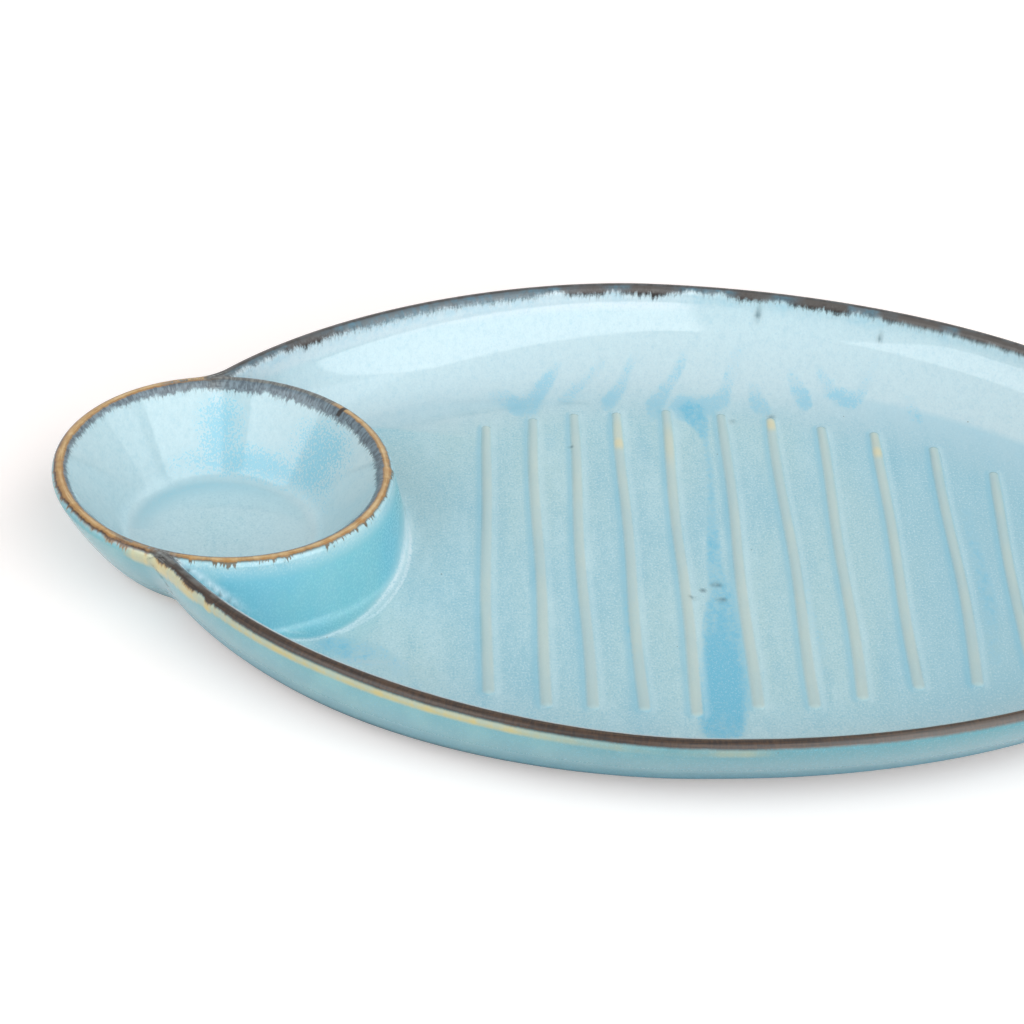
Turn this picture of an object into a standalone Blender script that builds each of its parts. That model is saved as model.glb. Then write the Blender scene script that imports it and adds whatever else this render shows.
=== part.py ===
"""Chip and dip tray: an egg-shaped stoneware dish with a round dip bowl set into one end.

The frame is in metres with +Z up. The origin is on the table, under the middle of the whole piece.
+X runs along the dish, away from the dip bowl, and +Y runs along the serving ribs.
"""

import math

import bmesh
import bpy
from mathutils import Vector

MM = 0.001

# Overall sizes
LENGTH = 374 * MM  # far side of the bowl to the round end of the dish
WIDTH = 251 * MM
HEIGHT = 31.3 * MM
BLUNT_REACH = 166 * MM  # widest place of the dish to where its blunt end would close, inside the bowl
ROUND_END = 2.0  # exponent of the egg's half away from the bowl, 2 being an ellipse
BLUNT_END = 1.8  # exponent of its half towards the bowl

# Clay sections
LIP = 5.0 * MM  # diameter of the rounded rim
FLOOR = 5.0 * MM
STAND = 2.5 * MM  # underside of the floor above the table
WALL_RUN = 39 * MM  # how far the wall's inner face leans inwards between rim and floor
BLUNT_RUN = 23 * MM  # the same beside the bowl, where the wall stands steeper
OUTER_RUN = 23.6 * MM  # how far its outer face leans inwards between rim and base
OUTER_BLUNT_RUN = 16 * MM  # the same beside the bowl
BLUNT_RUN_SHARE = -0.64  # where the steep wall starts to flatten, in half lengths of the piece
WALL_RUN_SHARE = 0.107  # where it has its full run
TUCK_RUN = 30 * MM  # run of the inner face where the wall goes in under the bowl's rim
OUTER_TUCK_RUN = 24 * MM  # the same of the outer face
TUCK_LENGTH = 6 * MM  # how far from the bowl's rim the wall starts to do so
WALL_SQUARENESS = 1.8  # of the inner face: 1 is a straight cone, 2 is a quarter ellipse
OUTER_SQUARENESS = 1.33
SEAM = 0.3 * MM  # joint between two pieces of clay

# Dip bowl
BOWL_DIAMETER = 104 * MM
BOWL_OFFSET = 7.6 * MM  # the bowl sits a little behind the long axis
BOWL_FLOOR = 4.5 * MM
BOWL_FLOOR_RADIUS = 29 * MM
BOWL_BASE_RADIUS = 33 * MM
BOWL_SQUARENESS = 1.18  # 1 is a straight cone, and more is a fuller side
BOWL_FILLET = 4.5 * MM

# Where the dish wraps round the bowl
NECK_RADIUS = 20 * MM  # hollow curve of the rim on both sides of the bowl
NECK_BITE = 3.5 * MM  # how far that curve runs into the bowl's rim
END_WALL_DRAFT = 5.5 * MM  # lean of the wall that faces the dish
END_WALL_FILLET = 5 * MM

# Serving ribs, trailed by hand, so their spacing is uneven
RIB_SHARES = (-0.289, -0.203, -0.134, -0.053, 0.032, 0.128)  # in half lengths of the piece
RIB_SHARES += (0.219, 0.3, 0.39, 0.492, 0.578, 0.668)
RIB_WIDTH = 3.3 * MM
RIB_HEIGHT = 1.1 * MM
RIB_MARGIN = 41 * MM  # rim to the end of a rib

# Foot rings
FOOT_WIDTH = 4 * MM
FOOT_MARGIN = 56 * MM  # rim to the dish's foot ring
FOOT_TO_BOWL = 8 * MM  # dish's foot ring to the edge of the bowl's base
BOWL_FOOT_MARGIN = 3 * MM  # edge of the bowl's base to its foot ring

# Facets
RIM_STEPS = 132
WALL_STEPS = 6
LIP_STEPS = 6
TURN_STEPS = 64
RIB_POINTS = 11

half_length = LENGTH / 2
half_width = WIDTH / 2
lip_radius = LIP / 2
lip_height = HEIGHT - lip_radius
floor_top = STAND + FLOOR
bowl_radius = BOWL_DIAMETER / 2
bowl_centre = Vector((bowl_radius - half_length, BOWL_OFFSET))

GLAZE = (0.45, 0.72, 0.79)
SLIP = (0.66, 0.71, 0.60)
BARE_CLAY = (0.74, 0.66, 0.54)


def clear_scene():
    for old in list(bpy.data.objects):
        bpy.data.objects.remove(old)


def collection(name):
    made = bpy.data.collections.new(name)
    bpy.context.scene.collection.children.link(made)
    return made


def material(name, colour, roughness):
    made = bpy.data.materials.new(name)
    made.use_nodes = True
    shader = made.node_tree.nodes["Principled BSDF"]
    shader.inputs["Base Color"].default_value = (*colour, 1)
    shader.inputs["Roughness"].default_value = roughness
    shader.inputs["Metallic"].default_value = 0
    return made


def as_cutter(shape):
    shape.hide_render = True
    shape.display_type = "WIRE"


def combine(shape, operation, other):
    modifier = shape.modifiers.new(f"{operation.lower()} {other.name}", "BOOLEAN")
    modifier.operation = operation
    modifier.object = other
    as_cutter(other)


def smooth(shape):
    shape.data.shade_smooth()
    shape.data.set_sharp_from_angle(angle=math.radians(40))


# Plan of the rim


def egg_half(x):
    """Reach and exponent of the half of the egg that a point with this x lies in."""
    return (half_length, ROUND_END) if x > 0 else (BLUNT_REACH, BLUNT_END)


def egg_point(angle):
    """A point on the dish's own egg-shaped outline."""
    reach, exponent = egg_half(math.cos(angle))
    along = abs(math.cos(angle)) ** (2 / exponent)
    across = abs(math.sin(angle)) ** (2 / exponent)
    return Vector(
        (
            math.copysign(reach * along, math.cos(angle)),
            math.copysign(half_width * across, math.sin(angle)),
        )
    )


def inside_egg(point):
    reach, exponent = egg_half(point.x)
    return abs(point.x / reach) ** exponent + abs(point.y / half_width) ** exponent < 1


def nearest_on_egg(point):
    """The egg's angle nearest to a point, found by narrowing a fan of angles."""
    middle, spread = math.atan2(point.y, point.x), math.radians(60)
    while spread > 1e-7:
        fan = [middle + spread * i / 8 for i in range(-8, 9)]
        middle = min(fan, key=lambda angle: (egg_point(angle) - point).length)
        spread /= 4
    return middle


def neck_centre(side):
    """Centre of the hollow neck curve that touches the egg and bites into the bowl's rim."""
    reach = bowl_radius - NECK_BITE + NECK_RADIUS

    def centre(turn):
        return bowl_centre + reach * Vector((math.cos(turn), side * math.sin(turn)))

    inside, outside = math.radians(10), math.radians(170)
    for _ in range(40):
        turn = (inside + outside) / 2
        point = centre(turn)
        gap = (egg_point(nearest_on_egg(point)) - point).length
        if inside_egg(point) or gap < NECK_RADIUS:
            inside = turn
        else:
            outside = turn
    return centre(outside)


def arc(centre, radius, start, end, count):
    angles = [start + (end - start) * i / count for i in range(count)]
    return [
        centre + radius * Vector((math.cos(angle), math.sin(angle))) for angle in angles
    ]


def direction(start, end):
    return math.atan2(end.y - start.y, end.x - start.x)


def rim_outline(count):
    """The dish's rim in plan, anticlockwise and evenly spaced. It closes inside the bowl."""
    back, front = neck_centre(1), neck_centre(-1)
    last, first = nearest_on_egg(back), nearest_on_egg(front)
    fine = 40
    egg = [egg_point(first + (last - first) * i / (8 * fine)) for i in range(8 * fine)]
    turned = 2 * math.pi
    lobe_start, lobe_end = direction(bowl_centre, back), direction(bowl_centre, front)
    path = egg
    path += arc(
        back,
        NECK_RADIUS,
        direction(back, egg_point(last)),
        direction(back, bowl_centre),
        fine,
    )
    path += arc(
        bowl_centre,
        bowl_radius - NECK_BITE,
        lobe_start,
        lobe_end % turned,
        2 * fine,
    )
    path += arc(
        front,
        NECK_RADIUS,
        direction(front, bowl_centre),
        direction(front, egg_point(first)),
        fine,
    )
    return evenly(path, count)


def evenly(path, count):
    """The same closed path with count points, equally far apart."""
    loop = path + path[:1]
    lengths = [0.0]
    for start, end in zip(loop, loop[1:]):
        lengths.append(lengths[-1] + (end - start).length)
    points, k = [], 0
    for i in range(count):
        wanted = lengths[-1] * i / count
        while lengths[k + 1] < wanted:
            k += 1
        share = (wanted - lengths[k]) / (lengths[k + 1] - lengths[k])
        points.append(loop[k].lerp(loop[k + 1], share))
    return points


def inwards_at(outline, i):
    along = outline[(i + 1) % len(outline)] - outline[i - 1]
    return Vector((-along.y, along.x)).normalized()


def wall_rings(outline, section):
    """The rings of a wall whose section, made for each place, gives (inset, height) points."""
    columns = []
    for i, point in enumerate(outline):
        inwards = inwards_at(outline, i)
        column = []
        for inset, height in section(*wall_runs(point)):
            moved = point + inset * inwards
            column.append((moved.x, moved.y, height))
        columns.append(column)
    return list(zip(*columns))


# Section through the dish


def wall_curve(start, end, squareness, steps):
    """Points from start, at the rim, down to end, steep at the rim and flatter at the floor."""
    points = []
    for i in range(steps + 1):
        turn = math.radians(90) * i / steps
        across = max(math.cos(turn), 0.0) ** (2 / squareness)
        down = math.sin(turn) ** (2 / squareness)
        points.append(
            (
                start[0] + (end[0] - start[0]) * (1 - across),
                start[1] + (end[1] - start[1]) * down,
            )
        )
    return points


def eased(share):
    """0 to 1 with a soft start and a soft end."""
    share = min(max(share, 0), 1)
    return share**2 * (3 - 2 * share)


def wall_runs(point):
    """How far the wall's inner and outer faces lean inwards at this place of the rim."""
    share = point.x / half_length
    along = (share - BLUNT_RUN_SHARE) / (WALL_RUN_SHARE - BLUNT_RUN_SHARE)
    to_bowl = (point - bowl_centre).length - bowl_radius + NECK_BITE
    inner = (BLUNT_RUN, WALL_RUN, TUCK_RUN)
    outer = (OUTER_BLUNT_RUN, OUTER_RUN, OUTER_TUCK_RUN)
    runs = []
    for blunt, full, tucked in (inner, outer):
        run = blunt + (full - blunt) * eased(along)
        runs.append(tucked + (run - tucked) * eased(to_bowl / TUCK_LENGTH))
    return runs


def dish_section(inner_run, outer_run):
    """(inset, height) from the underside, up the outer wall, over the lip and down to the floor."""
    outer_foot, inner_foot = (outer_run, STAND), (inner_run + lip_radius, floor_top)
    outer = wall_curve((0, lip_height), outer_foot, OUTER_SQUARENESS, WALL_STEPS)
    inner = wall_curve((LIP, lip_height), inner_foot, WALL_SQUARENESS, WALL_STEPS)
    lip = []
    for i in range(1, LIP_STEPS):
        turn = math.pi * i / LIP_STEPS
        lip.append(
            (
                lip_radius - lip_radius * math.cos(turn),
                lip_height + lip_radius * math.sin(turn),
            )
        )
    return outer[::-1] + lip + inner


def middle_section(inner_run, outer_run):
    """(inset, height) up the wall between its two faces, for the end wall to reach into."""
    rim = (lip_radius, lip_height)
    foot = (max(inner_run, outer_run) + lip_radius / 2, STAND + FLOOR / 2)
    return wall_curve(rim, foot, WALL_SQUARENESS, WALL_STEPS)[::-1]


def loft(name, rings, group):
    """A closed solid through rings of equally many points, from its bottom to its last ring."""
    mesh = bmesh.new()
    loops = [[mesh.verts.new(point) for point in ring] for ring in rings]
    for lower, upper in zip(loops, loops[1:]):
        for i in range(len(lower)):
            mesh.faces.new((lower[i - 1], lower[i], upper[i], upper[i - 1]))
    mesh.faces.new(loops[0][::-1])
    mesh.faces.new(loops[-1])
    return mesh_object(name, mesh, group)


def mesh_object(name, mesh, group):
    data = bpy.data.meshes.new(name)
    mesh.to_mesh(data)
    mesh.free()
    made = bpy.data.objects.new(name, data)
    group.objects.link(made)
    return made


# Turned pieces


def turned(name, section, group):
    """A solid turned about the bowl's axis from (radius, height) points, down its outer side."""
    mesh = bmesh.new()
    points = [mesh.verts.new((radius, 0, height)) for radius, height in section]
    for start, end in zip(points, points[1:]):
        mesh.edges.new((start, end))
    made = mesh_object(name, mesh, group)
    made.location = (*bowl_centre, 0)
    screw = made.modifiers.new("turn", "SCREW")
    screw.steps = screw.render_steps = TURN_STEPS
    screw.use_merge_vertices = True
    screw.merge_threshold = 1e-5
    return made


def fillet(before, corner, after, radius, steps):
    """Points of a round corner between two straight runs."""
    corner = Vector(corner)
    back = (Vector(before) - corner).normalized()
    on = (Vector(after) - corner).normalized()
    half = back.angle(on) / 2
    middle = corner + (back + on).normalized() * radius / math.sin(half)
    start = corner + back * radius / math.tan(half) - middle
    end = corner + on * radius / math.tan(half) - middle
    points = []
    for i in range(steps + 1):
        turn = start.angle_signed(end) * i / steps
        cos, sin = math.cos(turn), math.sin(turn)
        points.append(
            (
                middle.x + start.x * cos + start.y * sin,
                middle.y - start.x * sin + start.y * cos,
            )
        )
    return points


def bowl_outer_side(grown=0.0):
    """(radius, height) from the widest place of the bowl's rim down to the edge of its base."""
    rim, base = (bowl_radius + grown, lip_height), (BOWL_BASE_RADIUS + grown, STAND)
    return wall_curve(rim, base, BOWL_SQUARENESS, WALL_STEPS)


def bowl_section():
    floor = STAND + BOWL_FLOOR
    rim_inside = (bowl_radius - LIP, lip_height)
    corner = (BOWL_FLOOR_RADIUS, floor)
    section = [(0, floor)]
    section += fillet((0, floor), corner, rim_inside, BOWL_FILLET, 4)
    for i in range(LIP_STEPS + 1):
        turn = math.pi * i / LIP_STEPS
        section.append(
            (
                bowl_radius - lip_radius - lip_radius * math.cos(turn),
                lip_height + lip_radius * math.sin(turn),
            )
        )
    section += bowl_outer_side()[1:]
    section.append((0, STAND))
    return section


def end_wall_section():
    """The wall between bowl and dish, drafted outwards so that it lifts out of its mould."""
    top = lip_height - lip_radius / 4
    foot_radius = bowl_radius + END_WALL_DRAFT
    corner = (foot_radius, floor_top)
    shoulder = (bowl_radius + 2 * SEAM, top)
    edge = (foot_radius + 2 * END_WALL_FILLET, floor_top)
    sunk = floor_top - FLOOR / 2
    section = [(0, top), shoulder]
    section += fillet(shoulder, corner, edge, END_WALL_FILLET, 4)
    section += [(section[-1][0], sunk), (0, sunk)]
    return section


# Pieces


def make_dish(parts, cutters, glaze):
    outline = rim_outline(RIM_STEPS)
    dish = loft("tray_shell", wall_rings(outline, dish_section), parts)
    keep = loft("inside_of_the_wall", wall_rings(outline, middle_section), cutters)
    end_wall = turned("end_wall", end_wall_section(), cutters)
    combine(end_wall, "INTERSECT", keep)
    combine(dish, "UNION", end_wall)
    above, below = HEIGHT + LIP, -STAND
    side = bowl_outer_side(SEAM)
    seat_section = [(0, above), (side[0][0], above)] + side
    seat_section += [(side[-1][0], below), (0, below)]
    combine(dish, "DIFFERENCE", turned("bowl_seat", seat_section, cutters))
    dish.data.materials.append(glaze)
    smooth(dish)
    return dish


def make_bowl(parts, glaze):
    bowl = turned("dip_bowl", bowl_section(), parts)
    bowl.data.materials.append(glaze)
    bowl.modifiers["turn"].use_smooth_shade = True
    return bowl


def bead_section(cutters):
    """Cross-section of a trailed rib: flat underneath and domed on top."""
    data = bpy.data.curves.new("rib_section", "CURVE")
    data.dimensions = "2D"
    steps = 6
    spline = data.splines.new("POLY")
    spline.points.add(steps)
    for i, point in enumerate(spline.points):
        turn = math.pi * i / steps
        across, up = -RIB_WIDTH / 2 * math.cos(turn), RIB_HEIGHT * math.sin(turn)
        point.co = (across, up, 0, 1)
    spline.use_cyclic_u = True
    section = bpy.data.objects.new("rib_section", data)
    cutters.objects.link(section)
    as_cutter(section)
    return section


def rib_half_length(place):
    """Half the length of a rib, whose ends keep one margin to the rim."""
    reach, exponent = egg_half(place)
    share = abs(place) / (reach - RIB_MARGIN)
    return (half_width - RIB_MARGIN) * (1 - share**exponent) ** (1 / exponent)


def make_rib(name, place, section, parts, slip):
    data = bpy.data.curves.new(name, "CURVE")
    data.dimensions = "3D"
    data.bevel_mode = "OBJECT"
    data.bevel_object = section
    data.use_fill_caps = True
    data.twist_mode = "Z_UP"
    spline = data.splines.new("POLY")
    spline.points.add(RIB_POINTS - 1)
    half = rib_half_length(place)
    for i, point in enumerate(spline.points):
        turn = math.pi * i / (RIB_POINTS - 1)
        along = -half * math.cos(turn)
        point.co = (0, along, 0, 1)
        to_end = (half - abs(along)) / RIB_WIDTH
        point.radius = 0.35 + 0.65 * math.sqrt(min(to_end, 1))
    data.materials.append(slip)
    rib = bpy.data.objects.new(name, data)
    rib.location = (place, 0, floor_top + SEAM)
    parts.objects.link(rib)
    return rib


def make_foot(name, loops, parts, clay):
    """A flat ring between two loops of plan points, standing on the table."""
    data = bpy.data.curves.new(name, "CURVE")
    data.dimensions = "2D"
    data.fill_mode = "BOTH"
    data.extrude = (STAND - SEAM) / 2
    for loop in loops:
        spline = data.splines.new("POLY")
        spline.points.add(len(loop) - 1)
        for point, place in zip(spline.points, loop):
            point.co = (place.x, place.y, 0, 1)
        spline.use_cyclic_u = True
    data.materials.append(clay)
    foot = bpy.data.objects.new(name, data)
    foot.location.z = data.extrude
    parts.objects.link(foot)
    return foot


def dish_foot_loop(inset):
    """One edge of the dish's foot ring, an oval that stops short of the bowl's base."""
    right = half_length - FOOT_MARGIN - inset
    left = bowl_centre.x + BOWL_BASE_RADIUS + FOOT_TO_BOWL + inset
    across = half_width - FOOT_MARGIN - inset
    middle = Vector(((left + right) / 2, 0))
    angles = [2 * math.pi * i / TURN_STEPS for i in range(TURN_STEPS)]
    return [
        middle + Vector(((right - left) / 2 * math.cos(angle), across * math.sin(angle)))
        for angle in angles
    ]


def main():
    clear_scene()
    parts = collection("chip_and_dip_tray")
    cutters = collection("cutters")
    glaze = material("aqua_glaze", GLAZE, 0.12)
    slip = material("trailed_slip", SLIP, 0.2)
    clay = material("bare_clay", BARE_CLAY, 0.8)
    make_dish(parts, cutters, glaze)
    make_bowl(parts, glaze)
    section = bead_section(cutters)
    for i, share in enumerate(RIB_SHARES, start=1):
        make_rib(f"rib_{i:02d}", share * half_length, section, parts, slip)
    dish_foot = [dish_foot_loop(inset) for inset in (0, FOOT_WIDTH)]
    make_foot("tray_foot_ring", dish_foot, parts, clay)
    outer = BOWL_BASE_RADIUS - BOWL_FOOT_MARGIN
    bowl_foot = [
        arc(bowl_centre, radius, 0, 2 * math.pi, TURN_STEPS)
        for radius in (outer, outer - FOOT_WIDTH)
    ]
    make_foot("bowl_foot_ring", bowl_foot, parts, clay)


main()
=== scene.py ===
"""Looks of the chip and dip tray: one coat of reactive aqua glaze over dish, dip bowl and ribs,
breaking to iron brown at the rims, on bare clay foot rings. Everything is in metres, +Z up.
"""

import math

import bpy
import numpy as np
from mathutils import Matrix, Vector
from mathutils.geometry import delaunay_2d_cdt


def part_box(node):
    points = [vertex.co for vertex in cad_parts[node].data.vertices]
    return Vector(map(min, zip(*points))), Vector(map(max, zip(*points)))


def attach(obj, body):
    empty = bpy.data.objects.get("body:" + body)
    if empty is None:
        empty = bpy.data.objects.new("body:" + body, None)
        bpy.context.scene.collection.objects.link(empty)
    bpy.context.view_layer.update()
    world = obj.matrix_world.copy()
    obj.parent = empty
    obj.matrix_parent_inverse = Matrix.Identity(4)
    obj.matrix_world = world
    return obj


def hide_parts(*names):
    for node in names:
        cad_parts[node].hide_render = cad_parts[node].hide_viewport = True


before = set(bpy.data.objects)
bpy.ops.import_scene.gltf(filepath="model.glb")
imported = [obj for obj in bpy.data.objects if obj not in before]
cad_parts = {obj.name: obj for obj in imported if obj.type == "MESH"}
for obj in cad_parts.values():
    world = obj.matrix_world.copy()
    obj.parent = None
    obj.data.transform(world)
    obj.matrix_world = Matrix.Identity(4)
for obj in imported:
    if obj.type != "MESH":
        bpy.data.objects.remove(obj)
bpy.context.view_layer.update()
MM = 0.001

# Sizes read from the solids
_, dish_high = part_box("tray_shell")
bowl_low, bowl_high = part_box("dip_bowl")
rib_names = sorted(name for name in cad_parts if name.startswith("rib_"))
rib_boxes = [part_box(name) for name in rib_names]
half_length, half_width = dish_high.x, dish_high.y
rim_top, stand = dish_high.z, bowl_low.z
bowl_centre = np.array([(bowl_low.x + bowl_high.x) / 2, (bowl_low.y + bowl_high.y) / 2])
bowl_radius = (bowl_high.y - bowl_low.y) / 2

# Sizes repeated from the solids' source
BLUNT_REACH = 166 * MM
ROUND_END, BLUNT_END = 2.0, 1.8
LIP = 5.0 * MM
FLOOR_TOP = 7.5 * MM
WALL_RUN, BLUNT_RUN = 39 * MM, 23 * MM
OUTER_RUN, OUTER_BLUNT_RUN = 23.6 * MM, 16 * MM
BLUNT_RUN_SHARE, WALL_RUN_SHARE = -0.64, 0.107
WALL_SQUARENESS, OUTER_SQUARENESS, BOWL_SQUARENESS = 1.8, 1.33, 1.18
BOWL_FLOOR_TOP, BOWL_FLOOR_RADIUS, BOWL_BASE_RADIUS = 7.0 * MM, 29 * MM, 33 * MM
BOWL_FILLET = 5 * MM
NECK_RADIUS = 20 * MM
END_WALL_DRAFT, END_WALL_FILLET = 5.5 * MM, 5 * MM

# Ribs as the glaze leaves them, lower and softer than their solids, and the fill where bowl and dish meet
RIB_HEIGHT, RIB_REACH = 0.75 * MM, 2.0 * MM
RIB_WAVER, WAVER_LENGTH = 0.35 * MM, 17 * MM
RIB_SWELL, SWELL_LENGTH = 0.08, 9 * MM
JOINT_FILL, JOINT_REACH = 2.5 * MM, 5 * MM
FILL_PASSES = 10

lip_radius = LIP / 2
lip_height = rim_top - lip_radius
crest_radius = bowl_radius - lip_radius
split_radius = bowl_radius + 0.2 * MM

# Mesh density
RIM_COLUMNS = 1300
DISH_STEPS, NECK_STEPS, LOBE_STEPS = 6000, 800, 2400
CORNER_STEPS = 24
OUTER_RINGS, LIP_RINGS, WALL_RINGS = 18, 7, 20
BOWL_COLUMNS, FULL_RING = 380, 20 * MM
BOWL_ZONE = bowl_radius + 14 * MM
RIB_STATION = 1.2 * MM
RIB_LOOPS = (1.0, 0.93, 0.84, 0.74, 0.62, 0.48, 0.32, 0.16)
FLOOR_GRID, ROW_SHARE = 1.7 * MM, 0.866
BASE_GRID = 5 * MM


def eased(share):
    share = np.clip(share, 0, 1)
    return share**2 * (3 - 2 * share)


def ramp(value, start, end):
    return eased((np.asarray(value) - start) / (end - start))


def bump(value, middle, width):
    return np.exp(-(((np.asarray(value) - middle) / width) ** 2))


# Plan of the rim


def egg(angle):
    cos, sin = np.cos(angle), np.sin(angle)
    reach = np.where(cos > 0, half_length, BLUNT_REACH)
    power = 2 / np.where(cos > 0, ROUND_END, BLUNT_END)
    x = np.copysign(reach * np.abs(cos) ** power, cos)
    y = np.copysign(half_width * np.abs(sin) ** power, sin)
    return np.stack([x, y], -1)


fine_angles = np.linspace(-math.pi, math.pi, 24001)
fine_egg = egg(fine_angles)


def neck(side):
    """Centre of the hollow curve between the egg and the bowl's rim, and where it meets the egg."""
    reach = bowl_radius + NECK_RADIUS
    low, high = math.radians(40), math.radians(170)
    for _ in range(40):
        turn = (low + high) / 2
        centre = bowl_centre + reach * np.array([math.cos(turn), side * math.sin(turn)])
        gaps = np.linalg.norm(fine_egg - centre, axis=1)
        power = BLUNT_END
        inside = (abs(centre[0]) / BLUNT_REACH) ** power + (abs(centre[1]) / half_width) ** power < 1
        if inside or gaps.min() < NECK_RADIUS:
            low = turn
        else:
            high = turn
    return centre, fine_angles[gaps.argmin()]


def arc(centre, radius, start, end, count):
    angles = np.linspace(start, end, count, endpoint=False)
    return centre + radius * np.stack([np.cos(angles), np.sin(angles)], -1)


def bearing(start, end):
    return math.atan2(end[1] - start[1], end[0] - start[0])


def rim_columns():
    """Evenly spaced places round the whole rim: points, directions inwards and share of bowl."""
    back, back_angle = neck(1)
    front, front_angle = neck(-1)
    to_back, to_front = bearing(bowl_centre, back), bearing(bowl_centre, front)
    dish = egg(np.linspace(front_angle, back_angle, DISH_STEPS, endpoint=False))
    turns = bearing(back, egg(back_angle)), bearing(back, bowl_centre)
    back_neck = arc(back, NECK_RADIUS, *turns, NECK_STEPS)
    lobe = arc(bowl_centre, bowl_radius, to_back, to_front % (2 * math.pi), LOBE_STEPS)
    turns = bearing(front, bowl_centre), bearing(front, egg(front_angle))
    front_neck = arc(front, NECK_RADIUS, *turns, NECK_STEPS)
    path = np.concatenate([dish, back_neck, lobe, front_neck])
    rise = eased(np.linspace(0, 1, NECK_STEPS))
    share = np.concatenate([np.zeros(DISH_STEPS), rise, np.ones(LOBE_STEPS), rise[::-1]])
    closed = np.concatenate([path, path[:1]])
    length = np.concatenate([[0], np.cumsum(np.linalg.norm(np.diff(closed, axis=0), axis=1))])
    wanted = np.linspace(0, length[-1], RIM_COLUMNS, endpoint=False)
    points = np.stack([np.interp(wanted, length, closed[:, k]) for k in (0, 1)], -1)
    share = np.interp(wanted, length, np.append(share, share[0]))
    along = np.roll(points, -1, 0) - np.roll(points, 1, 0)
    inwards = np.stack([-along[:, 1], along[:, 0]], -1)
    inwards /= np.linalg.norm(inwards, axis=1, keepdims=True)
    return points, inwards, share


rim_points, rim_inwards, bowl_share = rim_columns()
on_lobe = bowl_share > 0.999


# Sections


def wall_run(x, blunt=BLUNT_RUN, full=WALL_RUN):
    """How far a face of the dish's wall leans inwards at this place along the piece."""
    return blunt + (full - blunt) * ramp(x / half_length, BLUNT_RUN_SHARE, WALL_RUN_SHARE)


def lip_section(inset):
    """Height of the rounded lip at this inset from the rim's outer edge."""
    across = np.clip(np.abs(inset - lip_radius), 0, lip_radius)
    return lip_height + np.sqrt(lip_radius**2 - across**2)


def dish_height(inset, run):
    """Upper side of the dish: lip, flared wall and floor."""
    share = np.clip((inset - LIP) / (run + lip_radius - LIP), 0, 1)
    down = (1 - (1 - share) ** WALL_SQUARENESS) ** (1 / WALL_SQUARENESS)
    wall = lip_height + (FLOOR_TOP - lip_height) * down
    return np.where(inset < LIP, lip_section(inset), wall)


def rounded_section(points, radii):
    """Radius and height arrays along straight runs with round corners."""
    path = [np.array(points[0])]
    for before, corner, after, radius in zip(points, points[1:], points[2:], radii):
        corner = np.array(corner)
        back = np.array(before) - corner
        on = np.array(after) - corner
        back, on = back / np.linalg.norm(back), on / np.linalg.norm(on)
        half = math.acos(np.clip(back @ on, -1, 1)) / 2
        reach = radius / math.tan(half)
        for share in np.linspace(0, 1, CORNER_STEPS):
            start, end = corner + back * reach, corner + on * reach
            path.append((1 - share) ** 2 * start + 2 * share * (1 - share) * corner + share**2 * end)
    path.append(np.array(points[-1]))
    return np.array(path).T


lean = math.atan2(lip_height - BOWL_FLOOR_TOP, bowl_radius - LIP - BOWL_FLOOR_RADIUS)
lip_meets = (
    crest_radius - lip_radius * math.sin(lean),
    lip_height + lip_radius * math.cos(lean),
)
bowl_inside = rounded_section(
    [(0, BOWL_FLOOR_TOP), (BOWL_FLOOR_RADIUS, BOWL_FLOOR_TOP), lip_meets],
    [BOWL_FILLET],
)
end_wall_foot = bowl_radius + END_WALL_DRAFT
end_wall_side = rounded_section(
    [(bowl_radius, lip_height), (end_wall_foot, FLOOR_TOP), (end_wall_foot + 12 * MM, FLOOR_TOP)],
    [END_WALL_FILLET],
)


def bowl_height(radius):
    """Upper side of the bowl, its lip and the wall that faces the dish."""
    inside = np.interp(radius, bowl_inside[0], bowl_inside[1])
    outside = np.interp(radius, end_wall_side[0], end_wall_side[1])
    lip = lip_section(bowl_radius - radius)
    height = np.where(radius < lip_meets[0], inside, lip)
    return np.where(radius > bowl_radius, outside, height)


# Each trailed rib, in mm: how far its head and tail stop short of its solid, and how far they stray
# sideways
RIB_LAY = (
    (4.0, 0.0, 2.2, -1.2), (3.9, 0.0, 0.7, 0.2), (3.4, 2.5, 1.4, 0.5), (4.0, 4.4, 0.3, 0.3),
    (2.0, 3.0, 0.0, 0.2), (2.2, 6.4, 0.6, -0.2), (1.4, 5.0, -0.9, 0.0), (2.5, 6.8, 0.0, -1.0),
    (0.0, 8.0, 0.8, -0.5), (0.0, 2.8, -0.2, -1.5), (4.7, 3.0, 1.4, -0.5), (4.0, 3.0, 0.6, -0.6),
)


def rib_ends(number):
    """Where the line of one rib starts at its tail and stops at its head."""
    low, high = rib_boxes[number]
    head_short, tail_short, _, _ = RIB_LAY[number]
    round_end = RIB_REACH * 0.7
    return low.y + round_end + tail_short * MM, high.y - round_end - head_short * MM


def rib_middle(number, y):
    """Line of one trailed rib, with the slight waver of the hand."""
    low, high = rib_boxes[number]
    _, _, head_stray, tail_stray = RIB_LAY[number]
    share = (np.asarray(y) - low.y) / (high.y - low.y)
    stray = (head_stray * share**3 + tail_stray * (1 - share) ** 3) * MM
    waver = RIB_WAVER * np.sin(np.asarray(y) / WAVER_LENGTH + 2.4 * number)
    return (low.x + high.x) / 2 + stray + waver


def rib_wide(number, y):
    """Half width of one rib, a little finer at its head and fuller at its tail."""
    tail, head = rib_ends(number)
    past_head, to_tail = ramp(y, head, head - 12 * MM), ramp(y, (tail + head) / 2, tail)
    return RIB_REACH * (0.9 + 0.1 * past_head + 0.1 * to_tail)


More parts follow.
